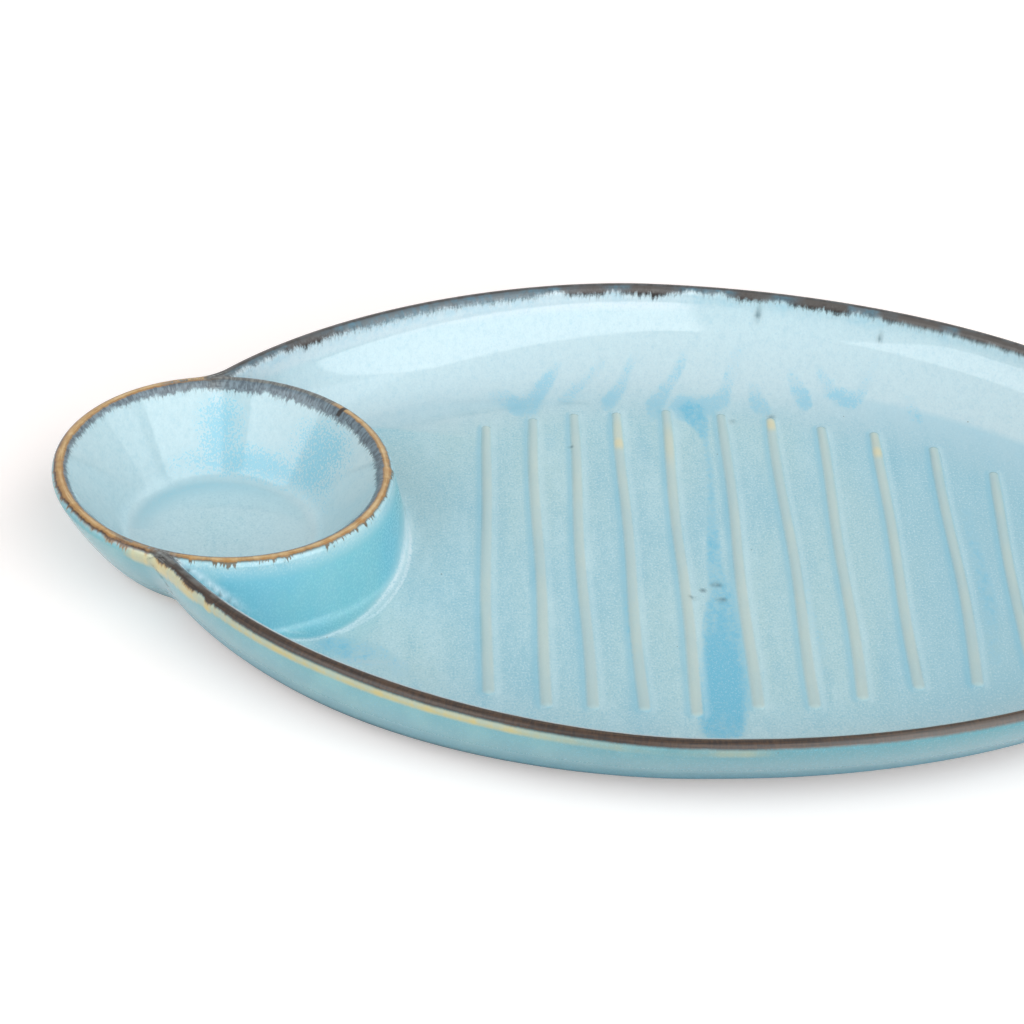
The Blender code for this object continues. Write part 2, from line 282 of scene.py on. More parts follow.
def rib_place(x, y):
    """Share of the way out from the nearest rib's line, signed place across it and its number."""
    reach, across = np.full_like(x, 99.0), np.full_like(x, 99.0)
    nearest = np.zeros(len(x), int)
    for number in range(len(rib_boxes)):
        on_line = np.clip(y, *rib_ends(number))
        side = x - rib_middle(number, on_line)
        wide = rib_wide(number, on_line)
        gap = np.hypot(side, y - on_line) / wide
        nearer = gap < reach
        reach = np.where(nearer, gap, reach)
        across = np.where(nearer, side / wide, across)
        nearest = np.where(nearer, number, nearest)
    return reach, across, nearest


def to_rim(x, y):
    """Inset from the rim, the wall's run there and the column, for each place in plan."""
    place = np.stack([x, y], -1)
    nearest = np.empty(len(place), int)
    for start in range(0, len(place), 4000):
        part = place[start : start + 4000]
        gap = (part[:, None, 0] - rim_points[None, :, 0]) ** 2
        gap += (part[:, None, 1] - rim_points[None, :, 1]) ** 2
        nearest[start : start + 4000] = gap.argmin(1)
    offset = place - rim_points[nearest]
    inset = (offset * rim_inwards[nearest]).sum(1)
    foot = place - inset[:, None] * rim_inwards[nearest]
    return inset, wall_run(foot[:, 0]), nearest


def top_height(x, y, inset, run, column):
    """Height of the glazed upper side."""
    radius = np.hypot(x - bowl_centre[0], y - bowl_centre[1])
    dish, bowl = dish_height(inset, run), bowl_height(radius)
    soft = JOINT_FILL * ramp(np.minimum(inset - LIP, radius - bowl_radius), 0, JOINT_REACH) + 1e-6
    near = np.clip(0.5 + 0.5 * (dish - bowl) / soft, 0, 1)
    joined = bowl + (dish - bowl) * near + soft * near * (1 - near)
    joined = np.where(on_lobe[column], bowl, joined)
    height = np.where(radius < crest_radius, bowl, joined)
    reach, _, number = rib_place(x, y)
    swell = 1 + RIB_SWELL * np.sin(y / SWELL_LENGTH + 1.7 * number)
    return height + RIB_HEIGHT * swell * np.clip(1 - reach**2.4, 0, 1) ** 1.7


# The fused skin: rings round the outside, one fine sheet over the top


def outer_rings():
    """Rings from just below the crest of the rim down the outside to the flat base."""
    run = wall_run(rim_points[:, 0], OUTER_BLUNT_RUN, OUTER_RUN) * (1 - bowl_share)
    run = run + (bowl_radius - BOWL_BASE_RADIUS) * bowl_share
    square = OUTER_SQUARENESS * (1 - bowl_share) + BOWL_SQUARENESS * bowl_share
    rings = []
    for turn in np.linspace(0, math.pi / 2, LIP_RINGS + 1)[1:-1]:
        inset = np.full(RIM_COLUMNS, lip_radius * (1 - math.sin(turn)))
        rings.append((inset, np.full(RIM_COLUMNS, lip_height + lip_radius * math.cos(turn))))
    for turn in np.linspace(0, math.pi / 2, OUTER_RINGS):
        across, down = max(math.cos(turn), 0) ** (2 / square), math.sin(turn) ** (2 / square)
        rings.append((run * (1 - across), lip_height + (stand - lip_height) * down))
    return rings


def lip_and_wall_rings():
    """Rings in step with the rim, over the lip and down the wall to the floor."""
    insets = [np.full(RIM_COLUMNS, lip_radius * (1 + math.sin(turn)))
              for turn in np.linspace(0, math.pi / 2, LIP_RINGS + 1)[1:]]
    for share in np.linspace(0, 1, WALL_RINGS + 1)[1:]:
        across = 1 - math.cos(share * math.pi / 2) ** (2 / WALL_SQUARENESS)
        insets.append(LIP + (wall_run(rim_points[:, 0]) + lip_radius - LIP) * across)
    for number, inset in enumerate(insets):
        ring = rim_points + rim_inwards * inset[:, None]
        radius = np.linalg.norm(ring - bowl_centre, axis=1)
        if number < LIP_RINGS:
            keep = on_lobe | (radius > bowl_radius + 0.7 * MM)
        else:
            keep = radius > BOWL_ZONE + 0.6 * MM
        yield ring[keep], []


def bowl_rings():
    """Rings about the bowl's middle, over the bowl, its lip and the wall beside it, cut short of the rim's
    own rings. The edges of the ring where bowl and dish part are kept.
    """
    radii = [*np.linspace(0.8, 25, 12) * MM, *np.linspace(25.9, 33.5, 10) * MM, *np.linspace(34.8, 46.6, 10) * MM]
    radii += [crest_radius - lip_radius * math.cos(t) for t in np.linspace(0.35, math.pi / 2, 6)[:-1]]
    radii += [crest_radius + lip_radius * math.sin(t) for t in np.linspace(0, math.pi / 2, 8)]
    radii += [split_radius, *np.linspace(52.6, BOWL_ZONE / MM, 30) * MM]
    for radius in radii:
        columns = BOWL_COLUMNS if radius > FULL_RING else max(int(BOWL_COLUMNS * radius / FULL_RING), 6)
        ring = arc(bowl_centre, radius, 0, 2 * math.pi, columns)
        inset, _, column = to_rim(ring[:, 0], ring[:, 1])
        edges = []
        if radius < crest_radius - 3 * MM:
            keep = np.full(columns, True)
        elif radius <= bowl_radius:
            keep = inset > np.where(on_lobe[column], LIP, lip_radius) + 0.4 * MM
        elif radius == split_radius:
            keep = inset > lip_radius + 0.4 * MM
            number = np.cumsum(keep) - 1
            both = keep & np.roll(keep, -1)
            edges = np.stack([number, np.roll(number, -1)], -1)[both].tolist()
        else:
            keep = inset > LIP + 0.5 * MM
        yield ring[keep], edges


def rib_loops():
    """Loops with round ends along each rib, from its edge, which is kept, in to its middle line."""
    turns = np.linspace(0, math.pi, 13)[1:-1]
    swing = np.stack([np.cos(turns), np.sin(turns)], -1)
    for number in range(len(rib_boxes)):
        tail, head = rib_ends(number)
        stations = np.linspace(tail, head, int((head - tail) / RIB_STATION))
        middle, wide = rib_middle(number, stations), rib_wide(number, stations)
        for share in RIB_LOOPS:
            right = np.stack([middle + wide * share, stations], -1)
            left = np.stack([middle - wide * share, stations], -1)
            top = np.array([middle[-1], head]) + wide[-1] * share * swing
            end = np.array([middle[0], tail]) - wide[0] * share * swing
            loop = np.concatenate([right, top, left[::-1], end])
            count = len(loop) if share == RIB_LOOPS[0] else 0
            yield loop, [(k, (k + 1) % count) for k in range(count)]
        yield np.stack([middle, stations], -1), []


def floor_places():
    """Staggered grid over the open floor."""
    rows = np.arange(-half_width, half_width, FLOOR_GRID * ROW_SHARE)
    lines = np.arange(-BLUNT_REACH, half_length, FLOOR_GRID)
    grid = np.array([(x + (k % 2) * FLOOR_GRID / 2, y) for k, y in enumerate(rows) for x in lines])
    inset, run, _ = to_rim(grid[:, 0], grid[:, 1])
    radius = np.linalg.norm(grid - bowl_centre, axis=1)
    reach, _, _ = rib_place(grid[:, 0], grid[:, 1])
    return grid[(inset > run + lip_radius + 0.6 * MM) & (radius > BOWL_ZONE + 0.9 * MM) & (reach > 1.3)]


def sheet_places():
    """Plan places of the upper side's mesh points, crest first, and the edges that must be kept."""
    crest, floor = rim_points + rim_inwards * lip_radius, floor_places()
    places, edges, count = [], [], 0
    for points, kept in ((crest, []), *lip_and_wall_rings(), *bowl_rings(), *rib_loops(), (floor, [])):
        edges.extend((count + start, count + end) for start, end in kept)
        places.append(points)
        count += len(points)
    return np.concatenate(places), edges


def triangulated(plan, outline, edges=(), close=1e-7):
    """Triangles between these places inside an outline of their numbers."""
    return delaunay_2d_cdt([Vector(p) for p in plan], list(edges), [list(outline)], 1, close)


def flat_base(edge_ring, ring_numbers, start):
    """Points inside the lowest ring, numbered from start, and the faces that close the skin below."""
    grid = np.array([(x, y) for x in np.arange(-half_length, half_length, BASE_GRID)
                     for y in np.arange(-half_width, half_width, BASE_GRID)])
    gap = np.sqrt(((grid[:, None] - edge_ring[None, ::4]) ** 2).sum(2)).min(1)
    flat = triangulated(np.concatenate([edge_ring, grid[gap > 2 * MM]]), range(RIM_COLUMNS))
    numbers, points = [], []
    for place, olds in zip(flat[0], flat[3]):
        if olds and min(olds) < RIM_COLUMNS:
            numbers.append(ring_numbers[min(olds)])
        else:
            numbers.append(start + len(points))
            points.append((place.x, place.y, stand))
    return np.array(points), [tuple(numbers[k] for k in reversed(face)) for face in flat[2]]


def fused_skin():
    """One closed skin: its points and faces, how far outside each point is, and how many are on top."""
    plan, edges = sheet_places()
    flat = triangulated(plan, range(RIM_COLUMNS), edges)
    plan = np.array([tuple(p) for p in flat[0]])
    faces = [tuple(face) for face in flat[2]]
    renumbered = {old: new for new, olds in enumerate(flat[3]) for old in olds}
    above = [renumbered[k] for k in range(RIM_COLUMNS)]
    top = np.column_stack([plan, top_height(*plan.T, *to_rim(*plan.T))])
    outside = [np.zeros(len(top))]
    outside[0][above] = 0.5
    points, count = [top], len(top)
    for inset, height in outer_rings():
        ring = rim_points + rim_inwards * inset[:, None]
        points.append(np.column_stack([ring, height]))
        outside.append(np.ones(RIM_COLUMNS))
        below = list(range(count, count + RIM_COLUMNS))
        count += RIM_COLUMNS
        for k in range(RIM_COLUMNS):
            on = (k + 1) % RIM_COLUMNS
            faces.append((above[k], below[k], below[on], above[on]))
        above = below
    base, base_faces = flat_base(ring, above, count)
    points.append(base)
    outside.append(np.ones(len(base)))
    return np.concatenate(points), faces + base_faces, np.concatenate(outside), len(top)


def from_junctions(points):
    """Plan distance to the nearer of the two places where the bowl's lip joins the dish's rim."""
    gaps = []
    for side in (1, -1):
        centre, _ = neck(side)
        place = bowl_centre + (centre - bowl_centre) * (bowl_radius / (bowl_radius + NECK_RADIUS))
        gaps.append(np.linalg.norm(points[:, :2] - place, axis=1))
    return np.min(gaps, axis=0)


def smoothed_necks(points, faces, top_count):
    """Glaze fills the corners where the bowl's lip meets the rim of the dish."""
    near = from_junctions(points)
    weight = 0.6 * (1 - ramp(near, 9 * MM, 17 * MM))
    weight[top_count:] = 0
    radius = np.linalg.norm(points[:, :2] - bowl_centre, axis=1)
    weight *= ramp(radius, crest_radius, crest_radius + 1.5 * MM)
    weight[points[:, 2] > rim_top - 0.4 * MM] *= 0.4
    pairs = np.array([(face[k], face[k - 1]) for face in faces for k in range(len(face))])
    pairs = pairs[(weight[pairs[:, 0]] > 0) | (weight[pairs[:, 1]] > 0)]
    for _ in range(FILL_PASSES):
        total, count = np.zeros(len(points)), np.zeros(len(points))
        for a, b in ((0, 1), (1, 0)):
            np.add.at(total, pairs[:, a], points[pairs[:, b], 2])
            np.add.at(count, pairs[:, a], 1)
        mean = total / np.maximum(count, 1)
        points[:, 2] += weight * (mean - points[:, 2]) * (count > 0)
    return points


def point_normals(points, faces):
    """Mean direction of the faces round each point, so that the shading runs on over the seams."""
    normals = np.zeros_like(points)
    for size in (3, 4):
        corners = np.array([face for face in faces if len(face) == size])
        across = points[corners[:, 2]] - points[corners[:, 0]]
        along = points[corners[:, size - 1]] - points[corners[:, 1]]
        facing = np.cross(across, along)
        for k in range(size):
            np.add.at(normals, corners[:, k], facing)
    return normals / np.maximum(np.linalg.norm(normals, axis=1, keepdims=True), 1e-12)


# Where glaze has run and gathered: place in plan, half width and depth along each run, in mm
GLAZE_RUNS = [
    [(-47, 87, 3.0, 0.4), (-40, 81, 3.4, 0.9), (-36, 88, 2.3, 0.8), (-31, 98, 1.5, 0.5), (-28, 103, 1.0, 0.2)],
    [(-27, 84, 1.5, 0.3), (-26, 87, 2.0, 0.55), (-22, 94, 1.5, 0.45), (-14, 104, 1.2, 0.25)],
    [(-13, 83, 1.4, 0.5), (-12, 87, 2.1, 0.8), (-8, 95, 1.5, 0.6), (-5, 103, 1.1, 0.35), (-2, 109, 1.0, 0.15)],
    [(1, 76, 1.0, 0.5), (3, 86, 2.4, 0.9), (7, 95, 1.5, 0.6), (12, 104, 1.2, 0.4), (14, 109, 1.0, 0.15)],
    [(15, 84, 5.2, 0.9), (24, 88, 2.4, 0.7), (27, 96, 1.3, 0.4), (31, 108, 1.8, 0.2)],
    [(38, 84, 2.2, 0.8), (36.5, 88, 2.3, 0.8), (36, 96, 1.3, 0.4)],
    [(52, 88, 1.8, 0.7), (51, 93, 1.9, 0.6), (48, 101, 1.2, 0.2)],
    [(57, 103, 1.0, 0.2), (61, 93, 1.7, 0.6), (67, 88.5, 2.3, 0.8), (71, 93, 1.4, 0.5), (76, 102, 1.0, 0.2)],
    [(88, 80, 1.6, 0.3), (86, 88, 1.5, 0.2)],
]
FLOOR_RUNS = [
    [(15, 84, 5.0, 0.68), (17, 73, 3.0, 0.62), (18, 65, 1.2, 0.5), (18.4, 48, 1.1, 0.45), (17.2, 25, 1.6, 0.4),
     (16.2, -2, 2.6, 0.45), (17, -19, 3.8, 0.5), (16, -36, 5.4, 0.7), (15, -55, 6.4, 0.95), (14, -74, 7.0, 1.0),
     (12.5, -88, 6.6, 0.85), (12.5, -93, 5.0, 0.3)],
    [(43, -4, 1.4, 0.25), (44, -27, 1.9, 0.4), (45, -40, 1.8, 0.3), (45, -62, 1.7, 0.15)],
    [(-12, 2, 2.2, 0.2), (-11, -32, 2.6, 0.28), (-9, -78, 2.6, 0.28)],
    [(98, 30, 2.5, 0.2), (99, -20, 3.0, 0.3), (97, -50, 2.6, 0.2)],
    [(-101, -51, 4.0, 0.4), (-93, -54, 7.0, 0.55), (-84, -60, 5.0, 0.25), (-70, -72, 4.0, 0.1)],
]

# Foot of the wall between bowl and dish: turn about the bowl in degrees, radius of the white line painted
# there as the highlight of its fillet and gap to its second strand
FOOT_TURN = (-70, -64, -60, -53, -47, -41, -32, -23, -13, -3, 14)
FOOT_RADIUS = (61.0, 63.5, 64.0, 63.6, 62.4, 61.3, 59.5, 58.4, 57.0, 56.4, 56.2)
STRAND_GAP = (0.0, 0.0, 0.0, 0.8, 1.8, 2.3, 2.4, 2.1, 1.9, 1.3, 0.0)

# Back rim: place along the piece, half length and strength of its dark tufts and of the gaps between them
RIM_TUFTS = ((-112, 9, 0.9), (-18, 8, 0.8), (1, 9, 1.0), (33.5, 4.5, 1.0), (59, 8, 0.8), (110, 36, 0.3))
RIM_GAPS = ((-31, 3.5, 0.9), (15.5, 5.5, 1.0), (25.5, 1.6, 1.0), (46, 4.0, 0.9))

# Cream blushes on the ribs: rib, place across the piece, half length in mm and strength
RIB_BLUSHES = (
    (3, 61.5, 3.4, 0.9), (3, 67, 9, 0.3), (4, 62, 11, 0.35),
    (6, 75.5, 3.6, 0.9), (8, 61, 3.2, 0.9), (8, 67, 6, 0.3),
)
# Smudges of iron on the floor: place and size in mm
IRON_SMUDGES = (
    (16.0, -14.9, 1.15), (17.1, -22.7, 1.05), (7.9, -22.3, 0.7), (11.6, -18.1, 0.55), (40.7, 81.0, 1.0),
    (27.5, 77.0, 0.7), (-25.3, 58.7, 0.45), (77.3, 107.2, 0.6), (37.6, 116.8, 0.8),
)

# Blue bands up the inside of the bowl: turn about its middle and half width in degrees, and strength
BOWL_BANDS = ((93, 10, 0.8), (40, 17, 0.9))
# Small dark nick across the bowl's rim
NICK_TURN = 42.9
# Strip of painted highlight down the wall from the front junction: where it starts and how it falls along the piece
STRIP_X, STRIP_Z, STRIP_FALL = -143 * MM, 28.5 * MM, 0.733

# Slate band inside the bowl's rim: turn in degrees and how much wider it is there
SLATE_TURN = (-180, -150, -120, -75, -45, -25, 0, 25, 72, 110, 140, 180)
SLATE_WIDE = (0.6, 0.4, 0.1, -0.3, 0.2, 1.0, 1.9, 2.1, 2.6, 1.9, 1.0, 0.6)


def brushed(x, y, stroke, spread=1.0):
    """Depth of glaze left by one run that swells and thins along its course."""
    depth = np.zeros(len(x))
    for (x1, y1, wide1, deep1), (x2, y2, wide2, deep2) in zip(stroke, stroke[1:]):
        way = np.array([x2 - x1, y2 - y1]) * MM
        share = np.clip(((x - x1 * MM) * way[0] + (y - y1 * MM) * way[1]) / (way @ way), 0, 1)
        gap = np.hypot(x - x1 * MM - share * way[0], y - y1 * MM - share * way[1])
        wide = (wide1 + (wide2 - wide1) * share) * spread * MM
        deep = deep1 + (deep2 - deep1) * share
        depth = np.maximum(depth, deep * (1 - ramp(gap / wide, 0.55, 1.35)))
    return depth


def rib_blush(x, y):
    """Where cream shows through on the ribs."""
    blush = np.zeros(len(x))
    for rib, spot_y, long, strength in RIB_BLUSHES:
        place = np.hypot((x - rib_middle(rib, y)) / (2 * MM), (y - spot_y * MM) / (long * MM))
        blush = np.maximum(blush, strength * np.exp(-(place**4)))
    return blush


def iron_smudge(x, y):
    """Where smudges of iron lie, a little wider than deep."""
    smudge = np.zeros(len(x))
    for spot_x, spot_y, size in IRON_SMUDGES:
        place = np.hypot((x - spot_x * MM) / 1.2, y - spot_y * MM) / (size * MM)
        smudge = np.maximum(smudge, np.exp(-(place**2)))
    return smudge


def rim_marks(x, marks):
    """How strongly the nearest of these marks along the back rim shows."""
    return np.max([strong * bump(x, middle * MM, long * MM) for middle, long, strong in marks], axis=0)


def glaze_facts(points, outside):
    """How the coat of glaze lies at each point: its distance from the rims, its runs and its pools, and where shade
    and highlights are painted.
    """
    x, y, z = points.T
    inset, run, column = to_rim(x, y)
    from_centre = points[:, :2] - bowl_centre
    radius = np.hypot(*from_centre.T)
    turn = np.degrees(np.arctan2(from_centre[:, 1], from_centre[:, 0]))
    lobe = ramp(bowl_share[column], 0.5, 0.95)
    upper, below_crest = outside < 0.75, outside > 0.75
    in_dish, in_bowl = upper & (radius > bowl_radius), upper & (radius < crest_radius)
    reach, across, _ = rib_place(x, y)
    near_junction = from_junctions(points)

    # Distance from the nearer rim, and the place on that rim
    from_dish_rim = np.hypot(inset - lip_radius, z - rim_top)
    from_bowl_rim = np.hypot(radius - crest_radius, z - rim_top)
    from_rim = np.where(upper, np.minimum(from_dish_rim, from_bowl_rim), from_dish_rim)
    bowl_rim = np.where(upper, ramp(from_dish_rim - from_bowl_rim, -1 * MM, 2 * MM), lobe)
    bowl_rim = np.maximum(bowl_rim, lobe * (radius < bowl_radius + MM))
    dish_spot = points[:, :2] - inset[:, None] * rim_inwards[column]
    bowl_spot = bowl_centre + bowl_radius * (from_centre / np.maximum(radius, 1e-6)[:, None])
    spot = np.where((bowl_rim > 0.5)[:, None], bowl_spot, dish_spot)
    past_crest = ramp(radius, crest_radius - 0.5 * MM, crest_radius + 0.5 * MM)
    neck_fade = ramp(near_junction, (8 - 6 * lobe) * MM, (40 - 33 * lobe) * MM)
    from_nick = np.abs(np.radians(turn - NICK_TURN)) * radius / MM

    # Runs of deeper glaze down the back wall between the ribs, the long ones across the floor, and more
    # along the foot of the wall and towards the round end
    runs = in_dish * np.max([brushed(x, y, stroke, 1.5) for stroke in GLAZE_RUNS], axis=0)
    deep_run = in_dish * np.max([brushed(x, y, stroke) for stroke in FLOOR_RUNS], axis=0)
    foot_line = in_dish * bump(inset, run + 1 * MM, 7 * MM) * (radius > end_wall_foot + 8 * MM)
    round_end = in_dish * ramp(x, 30 * MM, 110 * MM) * (z < FLOOR_TOP + 3 * MM)

    # Inside of the bowl: blue low on its wall and in bands up it, a highlight painted white round the fillet
    # of its floor, and the side towards the key light painted lighter
    low_wall = bump(radius, BOWL_FLOOR_RADIUS + 3.5 * MM, 3.2 * MM) * bump(turn, 68, 44)
    bands = sum(strong * bump(turn, middle, wide) for middle, wide, strong in BOWL_BANDS)
    bands = bands * (1 - ramp(z, 22 * MM, 31 * MM))
    bands *= ramp(radius, BOWL_FLOOR_RADIUS + MM, BOWL_FLOOR_RADIUS + 5 * MM)
    floor_ring = bump(radius, BOWL_FLOOR_RADIUS + 1 * MM, 1.7 * MM) * (0.8 - 0.75 * bump(turn, 88, 58))
    # Place towards the key light, for the side of the bowl's inside that is painted lighter
    to_light = 0.8 * from_centre[:, 0] - 0.35 * from_centre[:, 1]

    # Wall between bowl and dish, and the white lines painted at its foot as the highlight of its fillet
    from_foot = radius / MM - np.interp(turn, FOOT_TURN, FOOT_RADIUS)
    gap = np.interp(turn, FOOT_TURN, STRAND_GAP)
    end_wall = in_dish * (1 - ramp(from_foot, -2.5, 0.8))
    end_wall *= ramp(from_bowl_rim, 2 * MM, 8 * MM) * (1 - ramp(turn, 20, 50))
    low_ring = in_dish * (z < FLOOR_TOP + 8 * MM) * (1 - ramp(turn, 6, 14))
    fillet_highlight = low_ring * (0.3 * bump(from_foot, 0, 1.0) + 0.35 * (gap > 0) * bump(from_foot, gap / 2, 1.0))
    fillet_highlight = fillet_highlight + low_ring * 0.35 * bump(from_foot, -3.6, 0.45) * bump(turn, -67, 4)

    # A strip of painted highlight down the wall from the front junction
    highlight_strip = in_dish * (y < 0) * ramp(x, -122 * MM, -137 * MM) * ramp(-x, 148 * MM, 144 * MM)
    off_strip = z - (STRIP_Z - STRIP_FALL * (x - STRIP_X))
    return {
        "from_rim": from_rim / MM,
        "bowl_rim": bowl_rim,
        "outside": outside,
        "outer_lip": np.maximum(outside, bowl_rim * past_crest),
        "rim_spot": np.column_stack([spot, np.zeros(len(spot))]),
        "rib_reach": np.minimum(np.where(upper, reach, 99), 9),
        "rib_across": np.clip(across, -9, 9),
        "runs": runs,
        "deep_run": deep_run,
        "round_end": round_end,
        "end_wall": end_wall,
        "bowl_runs": in_bowl * np.maximum(low_wall, bands),
        "slate_wide": np.interp(turn, SLATE_TURN, SLATE_WIDE),
        "painted_lit_side": in_bowl * ramp(to_light, 0, 36 * MM),
        "tufted": rim_marks(dish_spot[:, 0], RIM_TUFTS) * (y > 0),
        "gapped": rim_marks(dish_spot[:, 0], RIM_GAPS) * (y > 0),
        "highlight_strip": highlight_strip * bump(off_strip, 0.2 * MM, 1.4 * MM),
        "strand": highlight_strip * bump(off_strip, -0.9 * MM, 0.45 * MM),
        "near_front": (1 - ramp(near_junction, 12 * MM, 58 * MM)) * (y < bowl_centre[1]),
        "junction": upper * (radius > crest_radius - MM) * (1 - ramp(near_junction, 6 * MM, 14 * MM)),
        "ashy": ramp(turn, 44, 50) * (1 - ramp(turn, 92, 100)),
        "neck": (1 - neck_fade) * (outside > 0.4),
        "near_joint": 1 - ramp(near_junction, 12 * MM, 48 * MM),
        "joint_fade": (1 - ramp(near_junction, 5 * MM, 14 * MM)) * (1 - 0.8 * lobe),
        # Darker towards the base: partly thicker glaze, partly painted shade of the underside and of the shadowed
        # paper that it mirrors
        "base_pool_and_shade": below_crest * (1 - 0.6 * lobe) * (1 - ramp(z, stand + 1.5 * MM, stand + 7.5 * MM)),
        "low_pool_and_shade": below_crest * (1 - 0.4 * lobe) * (1 - ramp(z, stand + 1 * MM, stand + 23 * MM)),
        "front_joint": (1 - ramp(near_junction, 9 * MM, 22 * MM)) * (y < bowl_centre[1]),
        "lobe": lobe,
        "fillet_highlight": fillet_highlight + in_bowl * floor_ring,
        "from_foot": np.where(low_ring > 0.5, np.clip(from_foot, -9, 9), np.where(from_foot < 0, -9, 9)),
        "strand_gap": gap,
        "foot_line": foot_line,
        "bowl_floor": upper * (1 - ramp(radius, BOWL_FLOOR_RADIUS - 5 * MM, BOWL_FLOOR_RADIUS + MM)),
        "blush": rib_blush(x, y),
        "smudge": in_dish * iron_smudge(x, y),
        "from_nick": np.where(upper, np.minimum(from_nick, 9), 9),
        "bowl_pool": upper * bump(radius, BOWL_FLOOR_RADIUS - 3.5 * MM, 4 * MM) * bump(turn, 125, 65),
    }


def chained(edges):
    """Vertex loop from a set of directed edges that form one closed chain."""
    on = dict(edges)
    loop = [edges[0][0]]
    while on[loop[-1]] != loop[0]:
        loop.append(on[loop[-1]])
    return loop


def open_edges(faces):
    """Directed edges of these faces that no other of them shares."""
    edges = {(face[k - 1], face[k]) for face in faces for k in range(len(face))}
    return [edge for edge in edges if (edge[1], edge[0]) not in edges]


def make_piece(name, skin, faces, node, glaze):
    """One piece of the skin, with its facts, that stands for a node of the solids."""
    points, normals, facts = skin
    used = sorted({k for face in faces for k in face})
    number = {old: new for new, old in enumerate(used)}
    mesh = bpy.data.meshes.new(name)
    mesh.from_pydata(points[used].tolist(), [], [tuple(number[k] for k in face) for face in faces])
    for fact, values in facts.items():
        vector = values.ndim == 2
        layer = mesh.attributes.new(fact, "FLOAT_VECTOR" if vector else "FLOAT", "POINT")
        layer.data.foreach_set("vector" if vector else "value", values[used].astype(np.float32).ravel())
    mesh.polygons.foreach_set("use_smooth", [True] * len(mesh.polygons))
    mesh.validate()
    mesh.normals_split_custom_set_from_vertices(normals[used].tolist())
    mesh.materials.append(glaze)
    piece = bpy.data.objects.new(name, mesh)
    bpy.context.scene.collection.objects.link(piece)
    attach(piece, "root")
    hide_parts(node)


def glazed_pieces(dish_glaze, bowl_glaze, rib_glaze):
    """Cut the fused skin into dish, bowl and ribs, each closed where it leaves its neighbour."""
    points, faces, outside, top_count = fused_skin()
    points = smoothed_necks(points, faces, top_count)
    normals = point_normals(points, faces)
    skin = points, normals, glaze_facts(points, outside)
    middles = np.array([points[list(face)].mean(0) for face in faces])
    radius = np.hypot(middles[:, 0] - bowl_centre[0], middles[:, 1] - bowl_centre[1])
    reach, _, number = rib_place(middles[:, 0], middles[:, 1])
    on_top = np.array([max(face) < top_count for face in faces])
    in_rib = on_top & (reach < 1)
    in_bowl = radius < split_radius
    dish = [face for face, rib, bowl in zip(faces, in_rib, in_bowl) if not rib and not bowl]
    bowl = [face for face, inside in zip(faces, in_bowl) if inside]
    for rib, node in enumerate(rib_names):
        bead = [faces[k] for k in np.flatnonzero(in_rib & (number == rib))]
        seam = chained(open_edges(bead))
        dish.append(tuple(seam))
        make_piece(f"glazed_{node}", skin, bead + [tuple(seam[::-1])], node, rib_glaze)
    edges = open_edges(bowl)
    seam = chained(edges)
    unrolled = [(bearing(bowl_centre, points[k]) * split_radius, points[k, 2]) for k in seam]
    curtain = triangulated(unrolled, range(len(seam)), close=1e-9)
    cut = [tuple(seam[curtain[3][k][0]] for k in face) for face in curtain[2]]
    edges = set(edges)
    if any((face[k - 1], face[k]) in edges for face in cut for k in range(3)):
        cut = [face[::-1] for face in cut]
    make_piece("glazed_dish", skin, dish + [face[::-1] for face in cut], "tray_shell", dish_glaze)
    make_piece("glazed_dip_bowl", skin, bowl + cut, "dip_bowl", bowl_glaze)


# Finishes


def rgb(red, green, blue):
    """Linear colour from the 0 to 255 values a screen shows."""
    def linear(value):
        value /= 255
        return value / 12.92 if value < 0.04045 else ((value + 0.055) / 1.055) ** 2.4
    return (linear(red), linear(green), linear(blue), 1.0)


